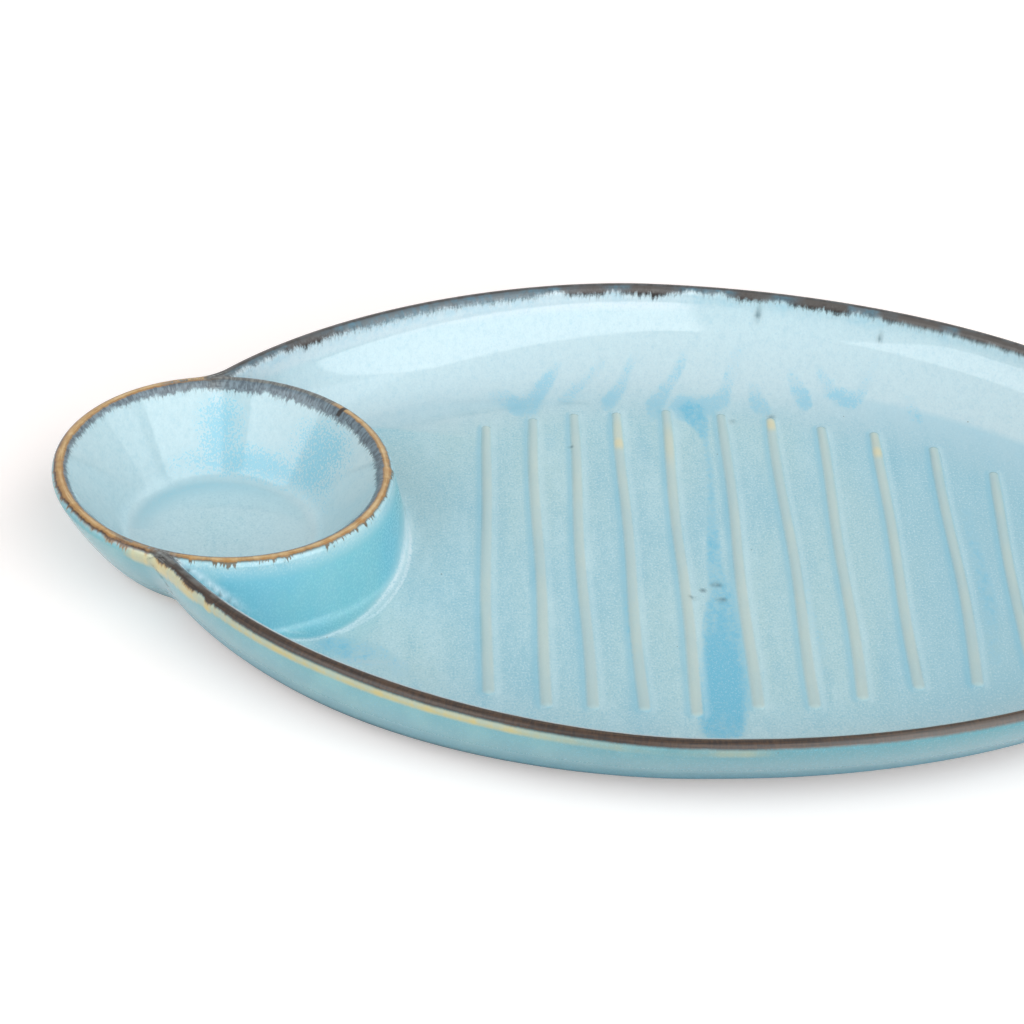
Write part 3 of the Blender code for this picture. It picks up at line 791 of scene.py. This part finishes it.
class Wiring:
    """Short ways to add and join shader nodes in one tree."""

    def __init__(self, tree):
        self.tree = tree

    def add(self, kind, out=0, inputs=(), **settings):
        node = self.tree.nodes.new(kind)
        for key, value in settings.items():
            setattr(node, key, value)
        for key, value in dict(inputs).items():
            self.feed(node.inputs[key], value)
        return node.outputs[out]

    def feed(self, socket, value):
        if isinstance(value, bpy.types.NodeSocket):
            self.tree.links.new(value, socket)
        else:
            socket.default_value = value

    def math(self, operation, first, *others):
        for other in others:
            first = self.add("ShaderNodeMath", inputs={0: first, 1: other}, operation=operation)
        return first

    def times(self, *values):
        return self.math("MULTIPLY", *values)

    def plus(self, *values):
        return self.math("ADD", *values)

    def most(self, *values):
        return self.math("MAXIMUM", *values)

    def less(self, first, second):
        return self.math("SUBTRACT", first, second)

    def size(self, value):
        return self.math("ABSOLUTE", value, 0.0)

    def turned(self, mask):
        return self.less(1.0, mask)

    def without(self, mask, share):
        """What is left where a mask takes this share away."""
        return self.turned(self.times(mask, share))

    def swing(self, noise):
        """A noise about its middle, so that it takes away as much as it gives."""
        return self.less(noise, 0.5)

    def swayed(self, value, by, amount):
        return self.plus(value, self.times(by, amount))

    def weighed(self, *parts):
        """Sum of values, each times its weight."""
        return self.plus(*[self.times(value, weight) for value, weight in parts])

    def step(self, value, start, end):
        return self.add(
            "ShaderNodeMapRange",
            inputs={"Value": value, "From Min": start, "From Max": end},
            interpolation_type="SMOOTHSTEP",
        )

    def mix(self, share, first, second):
        """Blend of two colours, each a socket or the 0 to 255 values a screen shows."""
        node = self.tree.nodes.new("ShaderNodeMix")
        node.data_type = "RGBA"
        for key, value in ((0, share), (6, first), (7, second)):
            self.feed(node.inputs[key], rgb(*value) if isinstance(value, tuple) else value)
        return node.outputs[2]

    def graded(self, value, start, end, first, second):
        """Colour that goes from one shade to another as a value crosses a range."""
        return self.mix(self.step(value, start, end), first, second)

    def fact(self, name, out="Fac"):
        return self.add("ShaderNodeAttribute", out, attribute_name=name)

    def place(self):
        return self.add("ShaderNodeTexCoord", "Object")

    def stretched(self, scale):
        """Place on the object, drawn out so that a noise there has a grain."""
        return self.add("ShaderNodeVectorMath", inputs={0: self.place(), 1: scale}, operation="MULTIPLY")

    def noise(self, vector, scale, detail=2.0, rough=0.5, depth=None):
        inputs = {"Vector": vector, "Scale": scale, "Detail": detail, "Roughness": rough}
        if depth is not None:
            inputs["W"] = depth
        return self.add("ShaderNodeTexNoise", "Fac", inputs, noise_dimensions="3D" if depth is None else "4D")

    def to_lens(self):
        """Rays that see a thing directly, mirrored or through glass, and not its light on others."""
        rays = ("Is Camera Ray", "Is Glossy Ray", "Is Transmission Ray")
        return self.most(*[self.add("ShaderNodeLightPath", ray) for ray in rays])


def new_group(name, inputs, outputs):
    group = bpy.data.node_groups.new(name, "ShaderNodeTree")
    for label, value in inputs:
        socket = group.interface.new_socket(label, in_out="INPUT", socket_type="NodeSocketFloat")
        socket.default_value = value
    for label, kind in outputs:
        group.interface.new_socket(label, in_out="OUTPUT", socket_type=kind)
    return group, group.nodes.new("NodeGroupInput").outputs, group.nodes.new("NodeGroupOutput").inputs


def iron_specks_group():
    """Small iron spots that burn through glaze and clay alike."""
    group, given, result = new_group(
        "iron_specks", [("Spacing", 140.0), ("Size", 0.06)], [("Mask", "NodeSocketFloat")]
    )
    w = Wiring(group)
    cells = w.add("ShaderNodeTexVoronoi", "Distance", {"Vector": w.place(), "Scale": given["Spacing"]})
    chance = w.step(w.noise(w.place(), 61.0), 0.5, 0.72)
    size = w.times(given["Size"], chance)
    mask = w.step(cells, size, w.times(size, 0.4))
    w.feed(result["Mask"], w.times(mask, w.step(chance, 0.05, 0.3)))
    return group


class GlazeCoat(Wiring):
    """Wiring of the glaze, with the noises and facts that its layers share and its colour so far.
    Facts about the rim are in mm from its crest, and along the piece in metres.
    """

    def __init__(self, tree):
        super().__init__(tree)
        self.colour = None

        # The body: clouds, wisps, flecks and the grain of its crystals
        self.cloud = self.noise(self.stretched((1.0, 0.4, 0.7)), 26.0)
        self.wisp = self.noise(self.stretched((1.0, 0.3, 0.6)), 120.0, 3.0, 0.55)
        self.fleck = self.noise(self.stretched((1.0, 0.7, 0.8)), 520.0, 3.0, 0.65)
        self.grain = self.noise(self.stretched((1.0, 0.7, 0.8)), 1700.0, 3.0, 0.65)
        self.mottle = self.noise(self.place(), 330.0, 3.0, 0.6)
        self.wisp_swing = self.swing(self.wisp)
        self.fleck_swing = self.swing(self.fleck)
        self.grain_swing = self.swing(self.grain)
        self.ragged = self.weighed((self.wisp_swing, 0.6), (self.fleck_swing, 0.6), (self.grain_swing, 1.1))

        # Where a place lies on the piece
        self.outside, self.outer = self.fact("outside"), self.fact("outer_lip")
        self.inside, self.inner = self.turned(self.outside), self.turned(self.outer)
        self.bowl_rim, self.lobe = self.fact("bowl_rim"), self.fact("lobe")
        self.dish_rim = self.turned(self.bowl_rim)
        self.dish_inner = self.times(self.inner, self.dish_rim)
        self.divider = self.times(self.bowl_rim, self.outer, self.turned(self.lobe))
        self.near_front, self.neck = self.fact("near_front"), self.fact("neck")
        self.from_rim, spot = self.fact("from_rim"), self.fact("rim_spot", "Vector")
        self.spot = spot
        self.along = self.add("ShaderNodeSeparateXYZ", "X", {0: spot})
        self.front = self.step(self.add("ShaderNodeSeparateXYZ", "Y", {0: spot}), -0.03, -0.08)
        self.front_dish = self.times(self.front, self.dish_rim)

        # The rims: hairs, tufts, streaks and patches that run straight down from the crest
        self.hair = self.noise(spot, 1300.0, 2.0, 0.6, self.times(self.from_rim, 0.0003))
        self.tuft = self.noise(spot, 260.0, 2.0, 0.6)
        self.streak = self.noise(spot, 110.0, 2.0, 0.6, self.times(self.from_rim, 0.02))
        self.patch = self.noise(spot, 62.0, 1.0)
        self.hair_swing, self.tuft_swing = self.swing(self.hair), self.swing(self.tuft)

    def paint(self, share, shade):
        """Lay a shade over this share of the coat."""
        self.colour = self.mix(share, self.colour, shade)

    def past(self, edge, start, end):
        """Step between two distances from an edge that wanders below the rim."""
        ends = [self.plus(edge, shift) if shift else edge for shift in (start, end)]
        return self.step(self.from_rim, *ends)


def lay_body(w, milkiness):
    """Milky aqua, with the walls painted paler as a painted reflection of the bright surroundings, a painted lit
    side in the bowl and a painted highlight below the back rim; gives back how pale the walls are painted.
    """
    w.colour = w.graded(w.cloud, 0.3, 0.7, (152, 200, 214), (170, 208, 214))
    w.paint(w.times(w.step(w.wisp, 0.42, 0.78), milkiness), (188, 222, 229))
    end_side = w.turned(w.times(w.bowl_rim, w.outer))
    # The walls are painted paler: painted reflection of the bright surroundings and of more light falling there
    painted_wall_light = w.times(w.step(w.from_rim, 58.0, 30.0), w.inside, end_side, w.without(w.front_dish, 0.8), 0.9)
    w.paint(painted_wall_light, w.mix(w.bowl_rim, (191, 213, 220), (182, 208, 215)))
    # Painted light: the side of the bowl's inside that faces the key light is painted lighter
    w.paint(w.times(w.fact("painted_lit_side"), 0.42), (212, 236, 240))
    # Painted highlight just below the back rim, carrying the softbox's reflection up to the iron
    painted_highlight_below_rim = w.times(w.step(w.from_rim, 9.5, 6.5), w.inside, w.dish_rim, w.step(w.along, 0.028, 0.0), 0.85)
    w.paint(painted_highlight_below_rim, (206, 219, 225))
    w.paint(w.times(w.step(w.fleck, 0.4, 0.7), 0.16), (196, 226, 232))
    w.paint(w.times(w.step(w.fleck, 0.52, 0.3), 0.16), (132, 188, 206))
    drift = w.noise(w.stretched((1.0, 0.18, 1.0)), 150.0, 3.0, 0.6)
    w.paint(w.times(w.step(drift, 0.5, 0.72), w.turned(painted_wall_light), w.inside, 0.3), (124, 186, 207))
    return painted_wall_light


def lay_pools(w):
    """Pools and runs that break up into grain at their edges; gives back those of dish and bowl."""
    runs, deep, bowl_runs = w.fact("runs"), w.fact("deep_run"), w.fact("bowl_runs")
    runs = w.step(w.plus(runs, w.times(w.ragged, w.step(runs, 0.0, 0.25), 2.2)), 0.1, 0.95)
    deep = w.step(w.plus(deep, w.times(w.ragged, w.step(deep, 0.0, 0.3), 1.8)), 0.1, 0.95)
    foot = w.times(w.fact("foot_line"), w.step(w.cloud, 0.4, 0.7), 0.15)
    pooled = w.most(deep, w.times(runs, 0.56), foot)
    w.paint(w.times(w.fact("round_end"), w.swayed(0.45, w.ragged, 0.5)), (132, 188, 208))
    w.paint(w.times(pooled, 0.95), (94, 184, 214))
    wall_blue = w.graded(w.cloud, 0.36, 0.62, (84, 178, 206), (108, 186, 199))
    w.paint(w.times(w.fact("end_wall"), w.swayed(0.85, w.ragged, 0.6), 0.95), wall_blue)

    fine = w.weighed((w.grain_swing, 4.4), (w.fleck_swing, 0.8), (w.wisp_swing, 0.5))
    bowl_runs = w.step(w.plus(bowl_runs, w.times(fine, w.step(bowl_runs, 0.0, 0.3))), 0.2, 0.95)
    w.paint(w.times(bowl_runs, 0.75), (116, 192, 215))
    w.paint(w.times(w.fact("bowl_floor"), w.swayed(0.5, w.ragged, 0.4)), (194, 226, 234))
    w.paint(w.times(w.fact("bowl_pool"), w.swayed(0.42, fine, 0.3)), (124, 192, 212))
    return pooled, bowl_runs


def lay_fillet_highlights(w):
    """Highlights painted as white lines along the fillets round the bowl's floor and at the foot of the end wall,
    there in two strands.
    """
    w.paint(w.times(w.fact("fillet_highlight"), w.swayed(0.75, w.ragged, 0.6), 0.85), (212, 236, 242))
    from_foot, gap = w.fact("from_foot"), w.fact("strand_gap")
    first = w.step(w.size(from_foot), 0.85, 0.2)
    second = w.times(w.step(w.size(w.less(from_foot, gap)), 0.8, 0.2), w.step(gap, 0.2, 0.9))
    w.paint(w.times(w.most(first, second), w.swayed(0.55, w.ragged, 1.5), 0.85), (220, 239, 245))


def lay_outer_side(w):
    """Outside of the wall, deeper towards the round end, and towards its base partly from thicker glaze and partly
    as painted shade; gives back how deep.
    """
    side = w.graded(w.wisp, 0.35, 0.7, (96, 165, 176), (116, 179, 185))
    side = w.mix(w.step(w.cloud, 0.4, 0.65), side, (100, 167, 181))
    to_round_end = w.step(w.along, -0.1, 0.02)
    side = w.mix(w.times(to_round_end, 0.75), side, (62, 130, 142))
    # Towards the base: partly thicker glaze, partly painted shade of the underside and of the shadowed paper that
    # it mirrors
    low_pool_and_shade = w.times(w.fact("low_pool_and_shade"), w.swayed(0.58, to_round_end, 0.42))
    side = w.mix(low_pool_and_shade, side, (0, 97, 120))
    side = w.mix(w.fact("base_pool_and_shade"), side, (4, 46, 60))
    w.paint(w.times(w.step(w.outside, 0.4, 1.0), w.step(w.from_rim, 1.6, 3.4), 0.9), side)
    return low_pool_and_shade


def lay_crystals(w, speckle, painted_wall_light, pooled):
    """Fine white and blue grain, calmer on the walls and in pools."""
    calm = w.times(w.without(w.fact("end_wall"), 0.7), w.without(w.outside, 0.7),
                   w.without(painted_wall_light, 0.7), w.without(pooled, 0.3))
    w.paint(w.times(w.step(w.grain, 0.48, 0.74), speckle, calm, 0.52), (210, 236, 243))
    w.paint(w.times(w.step(w.grain, 0.48, 0.3), speckle, w.without(painted_wall_light, 0.6), 0.5), (122, 188, 212))


def lay_ribs(w):
    """Thin glaze over cream slip, with painted shade along one flank and a painted highlight along the other."""
    reach, across = w.fact("rib_reach"), w.fact("rib_across")
    near = w.step(reach, 2.2, 1.2)
    # Painted shade along the rib's left flank
    w.paint(w.times(near, w.step(across, -0.5, -1.2), w.swayed(0.42, w.ragged, 0.5)), (116, 188, 212))
    # Painted highlight along the rib's right flank
    w.paint(w.times(near, w.step(across, 0.5, 1.2), 0.32), (198, 228, 234))
    slip = w.graded(w.wisp, 0.35, 0.7, (180, 204, 203), (190, 207, 199))
    slip = w.mix(w.fact("blush"), slip, (230, 214, 160))
    w.paint(w.times(w.step(reach, 1.0, 0.5), 0.74), slip)


def iron_reach(w):
    """How far the iron comes down from the crest, without and with the drips below the bowl's lip."""
    slate_wide = w.fact("slate_wide")
    hair_long = w.plus(1.6, w.times(w.bowl_rim, w.swayed(-0.2, slate_wide, 0.9)))
    drawn = w.weighed((w.swing(w.patch), 2.0), (w.tuft_swing, 2.2), (w.hair_swing, hair_long), (w.grain_swing, 2.2))
    calm_end = w.without(w.times(w.step(w.along, 0.06, 0.1), w.dish_rim), 0.6)
    calm_front = w.without(w.times(w.front_dish, w.inner), 0.8)
    drawn = w.times(drawn, w.swayed(0.12, w.inner, 0.78), calm_front, calm_end)
    near_or_front = w.most(w.fact("near_joint"), w.times(w.front, 2.0))
    thin_inside = w.times(w.dish_inner, near_or_front, -1.4)
    thin_bowl = w.times(w.bowl_rim, w.weighed((w.inner, -1.2), (w.outer, -0.75)))
    wide_slate = w.times(w.bowl_rim, w.inner, w.swayed(0.1, slate_wide, 0.9))
    ragged_joint = w.plus(-0.9, w.times(w.tuft_swing, 2.6), w.times(w.hair_swing, 1.6))
    thin_joint = w.times(w.outer, w.near_front, w.without(w.bowl_rim, 0.8), ragged_joint)
    gaps = w.times(w.fact("gapped"), w.dish_inner, -1.2)
    tuft_long = w.plus(0.3, w.times(w.hair_swing, 1.6), w.times(w.tuft_swing, 2.4))
    tufts = w.times(w.fact("tufted"), w.dish_inner, tuft_long)
    lip_edge = w.plus(2.9, w.times(w.inner, 0.2), w.times(w.divider, -0.5), thin_inside, thin_bowl,
                      wide_slate, drawn, thin_joint, gaps, tufts)
    drip = w.step(w.swayed(w.tuft, w.hair_swing, 0.8), 0.5, 0.72)
    return lip_edge, w.plus(lip_edge, w.times(w.bowl_rim, w.outer, drip, w.swayed(1.5, w.lobe, -0.9)))


def blue_gaps(w):
    """Stretches of the back rim where the iron is thin and the glaze shows blue through it."""
    gap = w.most(w.step(w.patch, 0.52, 0.42), w.times(w.step(w.along, -0.01, -0.04), 0.75))
    gap = w.most(w.times(gap, w.turned(w.fact("tufted"))), w.fact("gapped"))
    return w.times(gap, w.dish_inner, w.turned(w.front))


def lay_below_rim(w, edge, blue_gap):
    """Blue mottle and a fur of iron just below the rim, and a painted highlight strip down the wall from the front
    joint.
    """
    under = w.times(w.past(edge, 0, 1.0), w.past(edge, 5.0, 1.5))
    w.paint(w.times(under, blue_gap, w.step(w.mottle, 0.4, 0.62), 0.3), (134, 194, 216))
    fur = w.times(w.past(edge, 2.0, 0), w.step(w.hair, 0.48, 0.66), w.swayed(0.05, w.inner, 0.4))
    w.paint(w.times(fur, w.without(w.front_dish, 0.9)), (106, 128, 138))
    # Painted highlight strip down the wall from the front joint, streaked
    strip_streak = w.plus(0.9, w.times(w.hair_swing, 1.6), w.wisp_swing)
    w.paint(w.times(w.fact("highlight_strip"), strip_streak), (214, 236, 244))
    w.paint(w.times(w.fact("strand"), w.step(w.wisp, 0.4, 0.6), 0.75), (84, 100, 108))


def lay_cream(w, edge):
    """Cream band below the rim outside, widest at the neck, and ochre beside the front joint."""
    far = w.step(w.from_rim, w.plus(edge, 2.7, w.times(w.neck, 2.2)), w.plus(edge, 1.3, w.neck))
    cream = w.times(w.past(edge, -0.3, 0.3), far, w.outside, w.turned(w.times(w.bowl_rim, w.turned(w.neck))))
    to_bowl_end = w.step(w.along, 0.03, -0.05)
    strong = w.plus(w.noise(w.spot, 16.0, 1.0), w.times(to_bowl_end, 0.36), w.times(w.neck, 0.3), -0.14)
    cream = w.times(cream, w.step(strong, 0.42, 0.66), w.swayed(0.35, w.tuft, 0.9), 0.95)
    butter = w.graded(w.swayed(w.from_rim, w.tuft, 2.0), 4.2, 5.4, (190, 192, 160), (200, 186, 118))
    w.paint(cream, w.mix(w.times(w.neck, 0.7), butter, (226, 206, 140)))
    ochre = w.times(w.past(edge, 1.1, 0), w.near_front, w.outside, w.step(w.tuft, 0.38, 0.6), 0.8)
    w.paint(ochre, (168, 122, 58))


def dish_lip(w, edge, blue_gap):
    """Iron of the dish's rim: worn on the crest, drawn down in tufts inside and fired dark outside."""
    blot = w.weighed((w.tuft, 0.5), (w.mottle, 0.5))
    rim_grain = w.weighed((w.streak, 0.55), (w.hair, 0.45))
    worn = w.graded(rim_grain, 0.4, 0.6, (32, 20, 9), (74, 54, 34))
    worn = w.mix(w.turned(w.front), worn, w.graded(blot, 0.42, 0.6, (48, 45, 42), (76, 80, 82)))
    worn = w.mix(w.times(w.near_front, w.step(blot, 0.4, 0.6), 0.6), worn, (112, 112, 106))
    drawn = w.mix(blue_gap, (80, 76, 73), w.graded(blot, 0.42, 0.58, (96, 112, 120), (88, 130, 148)))
    tufts = w.swayed(w.fact("tufted"), w.step(w.tuft, 0.46, 0.6), 0.5)
    tufts = w.times(w.past(edge, -2.5, -0.7), tufts, w.swayed(0.8, w.hair_swing, 2.0), 0.95)
    drawn = w.mix(tufts, drawn, (40, 30, 26))
    fired = w.graded(rim_grain, 0.4, 0.6, (24, 12, 5), (62, 42, 25))
    fired = w.mix(w.times(w.step(w.along, 0.02, 0.07), w.outer, 0.22), fired, (138, 136, 131))
    return w.mix(w.step(w.from_rim, 0.2, 1.1), worn, w.mix(w.outer, drawn, fired))


def bowl_lip(w, lip_edge, edge):
    """Tan along the crest of the bowl's rim, with painted highlights on its crest and on the divider, slate inside
    it and brown below it outside.
    """
    ashy = w.fact("ashy")
    clean = w.turned(ashy)
    tan = w.graded(w.mottle, 0.3, 0.7, (186, 144, 84), (208, 176, 122))
    tan = w.mix(w.times(w.step(w.patch, 0.46, 0.66), 0.4), tan, (164, 116, 60))
    # Painted highlight: cream patches along the divider's lip
    tan = w.mix(w.times(w.divider, w.step(w.mottle, 0.42, 0.6), 0.4), tan, (216, 194, 150))
    tan = w.mix(w.times(w.step(w.streak, 0.5, 0.66), 0.4), tan, (152, 106, 56))
    tan = w.mix(w.times(w.fact("front_joint"), w.step(w.mottle, 0.44, 0.58), 0.85), tan, (92, 58, 32))
    tan = w.mix(ashy, tan, w.graded(w.hair, 0.35, 0.65, (84, 87, 87), (128, 132, 128)))
    # Painted highlight along the crest
    painted_crest_highlight = w.times(w.step(w.from_rim, 1.0, 0.3), w.step(w.streak, 0.6, 0.42), clean, 0.4)
    tan = w.mix(painted_crest_highlight, tan, (224, 200, 158))
    tan_inside = w.plus(0.5, w.times(w.lobe, 0.3), w.tuft_swing, w.times(w.hair_swing, 0.8))
    tan_outside = w.plus(lip_edge, -0.5, w.times(w.lobe, -0.4), w.times(w.tuft_swing, 1.4))
    inner_line = w.times(w.inner, w.past(tan_inside, -0.6, 0))
    outer_line = w.times(w.outer, w.past(tan_outside, -0.9, 0))
    tan = w.mix(w.times(w.plus(inner_line, outer_line), clean, 0.55), tan, (126, 84, 42))

    slate = w.graded(w.weighed((w.hair, 0.6), (w.mottle, 0.4)), 0.4, 0.6, (76, 90, 100), (114, 132, 142))
    slate = w.mix(w.times(w.past(edge, -1.6, -0.2), w.step(w.tuft, 0.4, 0.6), 0.6), slate, (50, 58, 68))
    brown = w.graded(w.hair, 0.36, 0.64, (58, 39, 27), (104, 76, 50))
    brown = w.mix(w.times(w.divider, 0.55), brown, (100, 106, 92))
    brown = w.mix(ashy, brown, (86, 84, 82))
    inside = w.mix(w.past(tan_inside, 0, 0.6), tan, slate)
    outside = w.mix(w.past(tan_outside, 0, 0.4), tan, brown)
    return w.mix(w.outer, inside, outside)


def lay_joints(w, covered):
    """Streaked slate where the bowl's lip runs into the dish's rim."""
    slate = w.graded(w.weighed((w.streak, 0.7), (w.hair, 0.3)), 0.4, 0.6, (66, 66, 64), (138, 143, 142))
    w.paint(w.times(covered, w.fact("joint_fade"), w.swayed(0.35, w.tuft, 0.9)), slate)
    below = w.times(w.fact("junction"), w.step(w.from_rim, 9.0, 2.0))
    w.paint(w.times(below, w.step(w.plus(w.tuft, w.hair), 0.75, 1.15), 1.2), slate)


def lay_spots(w, specks):
    """Iron that burns through in specks and smudges, and the nick in the bowl's rim."""
    w.paint(w.times(w.add("ShaderNodeGroup", "Mask", node_tree=specks), 0.8), (84, 74, 66))
    w.paint(w.times(w.fact("smudge"), w.step(w.fleck, 0.2, 0.5), 0.85), (72, 104, 114))
    nick = w.times(w.step(w.fact("from_nick"), 1.0, 0.5), w.step(w.from_rim, 3.3, 2.7), w.bowl_rim, w.inside)
    w.paint(w.times(nick, 0.95), (24, 18, 15))


def reactive_glaze_group(specks):
    """Milky aqua glaze that pools blue, breaks cream on raised lines and iron brown on rims."""
    group, given, result = new_group(
        "reactive_glaze",
        [("Milkiness", 0.5), ("Speckle", 1.0)],
        [("Colour", "NodeSocketColor"), ("Roughness", "NodeSocketFloat"), ("Height", "NodeSocketFloat")],
    )
    w = GlazeCoat(group)
    painted_wall_light = lay_body(w, given["Milkiness"])
    pooled, bowl_runs = lay_pools(w)
    lay_fillet_highlights(w)
    low_pool_and_shade = lay_outer_side(w)
    lay_crystals(w, given["Speckle"], painted_wall_light, pooled)
    lay_ribs(w)

    lip_edge, edge = iron_reach(w)
    blue_gap = blue_gaps(w)
    lay_below_rim(w, edge, blue_gap)
    lay_cream(w, edge)
    soft = w.times(w.inner, w.swayed(0.4, w.bowl_rim, -0.1))
    covered = w.step(w.from_rim, w.plus(edge, 0.55, soft), w.less(w.plus(edge, -0.45), soft))
    w.paint(covered, w.mix(w.bowl_rim, dish_lip(w, edge, blue_gap), bowl_lip(w, lip_edge, edge)))
    lay_joints(w, covered)
    lay_spots(w, specks)
    w.feed(result["Colour"], w.colour)

    crystal = w.step(w.grain, 0.4, 0.7)
    rough = w.plus(0.04, w.times(covered, 0.26), w.times(w.fact("end_wall"), 0.22), w.times(bowl_runs, 0.12),
                   w.times(crystal, 0.04), w.times(low_pool_and_shade, 0.8), w.times(w.fact("base_pool_and_shade"), 0.3))
    w.feed(result["Roughness"], rough)
    w.feed(result["Height"], w.weighed((w.noise(w.place(), 170.0, 1.0), 0.5), (w.grain, 0.05), (covered, -0.08)))
    return group


def new_material(name):
    """A material, the inputs of its surface shader and the wiring of its tree."""
    material = bpy.data.materials.new(name)
    material.use_nodes = True
    return material, material.node_tree.nodes["Principled BSDF"].inputs, Wiring(material.node_tree)


def glaze_material(name, glaze_group, milkiness, speckle):
    material, surface, w = new_material(name)
    coat = material.node_tree.nodes.new("ShaderNodeGroup")
    coat.node_tree = glaze_group
    coat.inputs["Milkiness"].default_value = milkiness
    coat.inputs["Speckle"].default_value = speckle
    w.feed(surface["Base Color"], coat.outputs["Colour"])
    w.feed(surface["Roughness"], coat.outputs["Roughness"])
    ripple = {"Strength": 0.05, "Distance": 0.4 * MM, "Height": coat.outputs["Height"]}
    w.feed(surface["Normal"], w.add("ShaderNodeBump", inputs=ripple))
    surface["IOR"].default_value = 1.52
    return material


def clay_material(specks):
    """Bare clay, wiped with a sponge, with a tooth of fine grit."""
    material, surface, w = new_material("bare_wiped_clay")
    tooth = w.noise(w.place(), 1400.0, 4.0, 0.65)
    wiped = w.noise(w.stretched((1.0, 1.0, 3.0)), 90.0, 3.0)
    colour = w.graded(wiped, 0.35, 0.7, (196, 178, 150), (176, 152, 122))
    colour = w.mix(w.times(w.step(tooth, 0.5, 0.75), 0.45), colour, (214, 200, 176))
    spots = w.add("ShaderNodeGroup", "Mask", node_tree=specks)
    w.feed(surface["Base Color"], w.mix(w.times(spots, 0.8), colour, (92, 66, 48)))
    w.feed(surface["Roughness"], w.swayed(0.72, tooth, 0.2))
    grit = {"Strength": 0.35, "Distance": 0.2 * MM, "Height": tooth}
    w.feed(surface["Normal"], w.add("ShaderNodeBump", inputs=grit))
    return material


# Studio

FILL_LIGHT, PAPER_LIFT = 0.33, 0.25
KEY_GLOW, FILL_GLOW, SIDE_GLOW = 2.2, 2.1, 1.0
PAPER_COLOUR, PAPER_REACH = (1.0, 0.93, 0.905, 1), 4.0


def camera():
    lens = bpy.data.cameras.new("camera")
    lens.sensor_width = 36.0
    lens.lens = 140.42
    viewer = bpy.data.objects.new("camera", lens)
    bpy.context.scene.collection.objects.link(viewer)
    place = Matrix.Translation((-113.502 * MM, -1005.857 * MM, 705.466 * MM))
    heading = Matrix.Rotation(math.radians(-3.792), 4, "Z")
    tilt = Matrix.Rotation(math.radians(90 - 34.117), 4, "X")
    roll = Matrix.Rotation(math.radians(3.906), 4, "Z")
    viewer.matrix_world = place @ heading @ tilt @ roll
    bpy.context.scene.camera = viewer


def softbox(name, right, up, distance, width, height, glow, upright=False):
    """Studio lamp facing the dish, so many degrees right of the front and up; glow 1 looks white."""
    lamp = bpy.data.lights.new(name, "AREA")
    lamp.shape = "RECTANGLE"
    lamp.size, lamp.size_y = width, height
    lamp.energy = glow * math.pi * width * height
    holder = bpy.data.objects.new(name, lamp)
    bpy.context.scene.collection.objects.link(holder)
    right, up = math.radians(right), math.radians(up)
    towards = Vector((math.sin(right) * math.cos(up), -math.cos(right) * math.cos(up), math.sin(up)))
    holder.location = towards * distance
    if upright:
        towards.z = 0
    holder.rotation_euler = towards.to_track_quat("Z", "Y").to_euler()


def studio():
    """Even white surroundings, three softboxes and a sheet of white paper that keeps the shadow."""
    scene = bpy.context.scene
    scene.view_settings.view_transform = "Standard"
    scene.world = bpy.data.worlds.new("studio")
    scene.world.use_nodes = True
    w = Wiring(scene.world.node_tree)
    around = w.tree.nodes["Background"].inputs
    around["Color"].default_value = (1.0, 1.0, 1.0, 1.0)
    w.feed(around["Strength"], w.swayed(FILL_LIGHT, w.to_lens(), 1 - FILL_LIGHT))

    softbox("key_softbox", 33.5, 48.9, 3.8, 3.3, 5.5, KEY_GLOW, upright=True)
    softbox("fill_softbox", -54, 37, 3.0, 2.3, 2.25, FILL_GLOW)
    softbox("side_softbox", 98, 44, 3.0, 2.0, 2.0, SIDE_GLOW)

    mesh = bpy.data.meshes.new("studio_floor")
    corners = [(x * PAPER_REACH, y * PAPER_REACH, 0) for x, y in ((-1, -1), (1, -1), (1, 1), (-1, 1))]
    mesh.from_pydata(corners, [], [(0, 1, 2, 3)])
    floor = bpy.data.objects.new("studio_floor", mesh)
    scene.collection.objects.link(floor)
    paper, surface, w = new_material("studio_paper")
    surface["Base Color"].default_value = PAPER_COLOUR
    surface["Roughness"].default_value = 0.9
    surface["Specular IOR Level"].default_value = 0.0
    surface["Emission Color"].default_value = (1, 1, 1, 1)
    w.feed(surface["Emission Strength"], w.times(w.to_lens(), PAPER_LIFT))
    mesh.materials.append(paper)


camera()
studio()
iron_specks = iron_specks_group()
reactive_glaze = reactive_glaze_group(iron_specks)
glazed_pieces(
    glaze_material("dish_glaze", reactive_glaze, 0.5, 1.0),
    glaze_material("bowl_glaze", reactive_glaze, 0.55, 0.9),
    glaze_material("rib_glaze", reactive_glaze, 0.5, 0.8),
)
clay = clay_material(iron_specks)
for node in ("tray_foot_ring", "bowl_foot_ring"):
    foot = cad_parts[node]
    foot.data.materials.clear()
    foot.data.materials.append(clay)
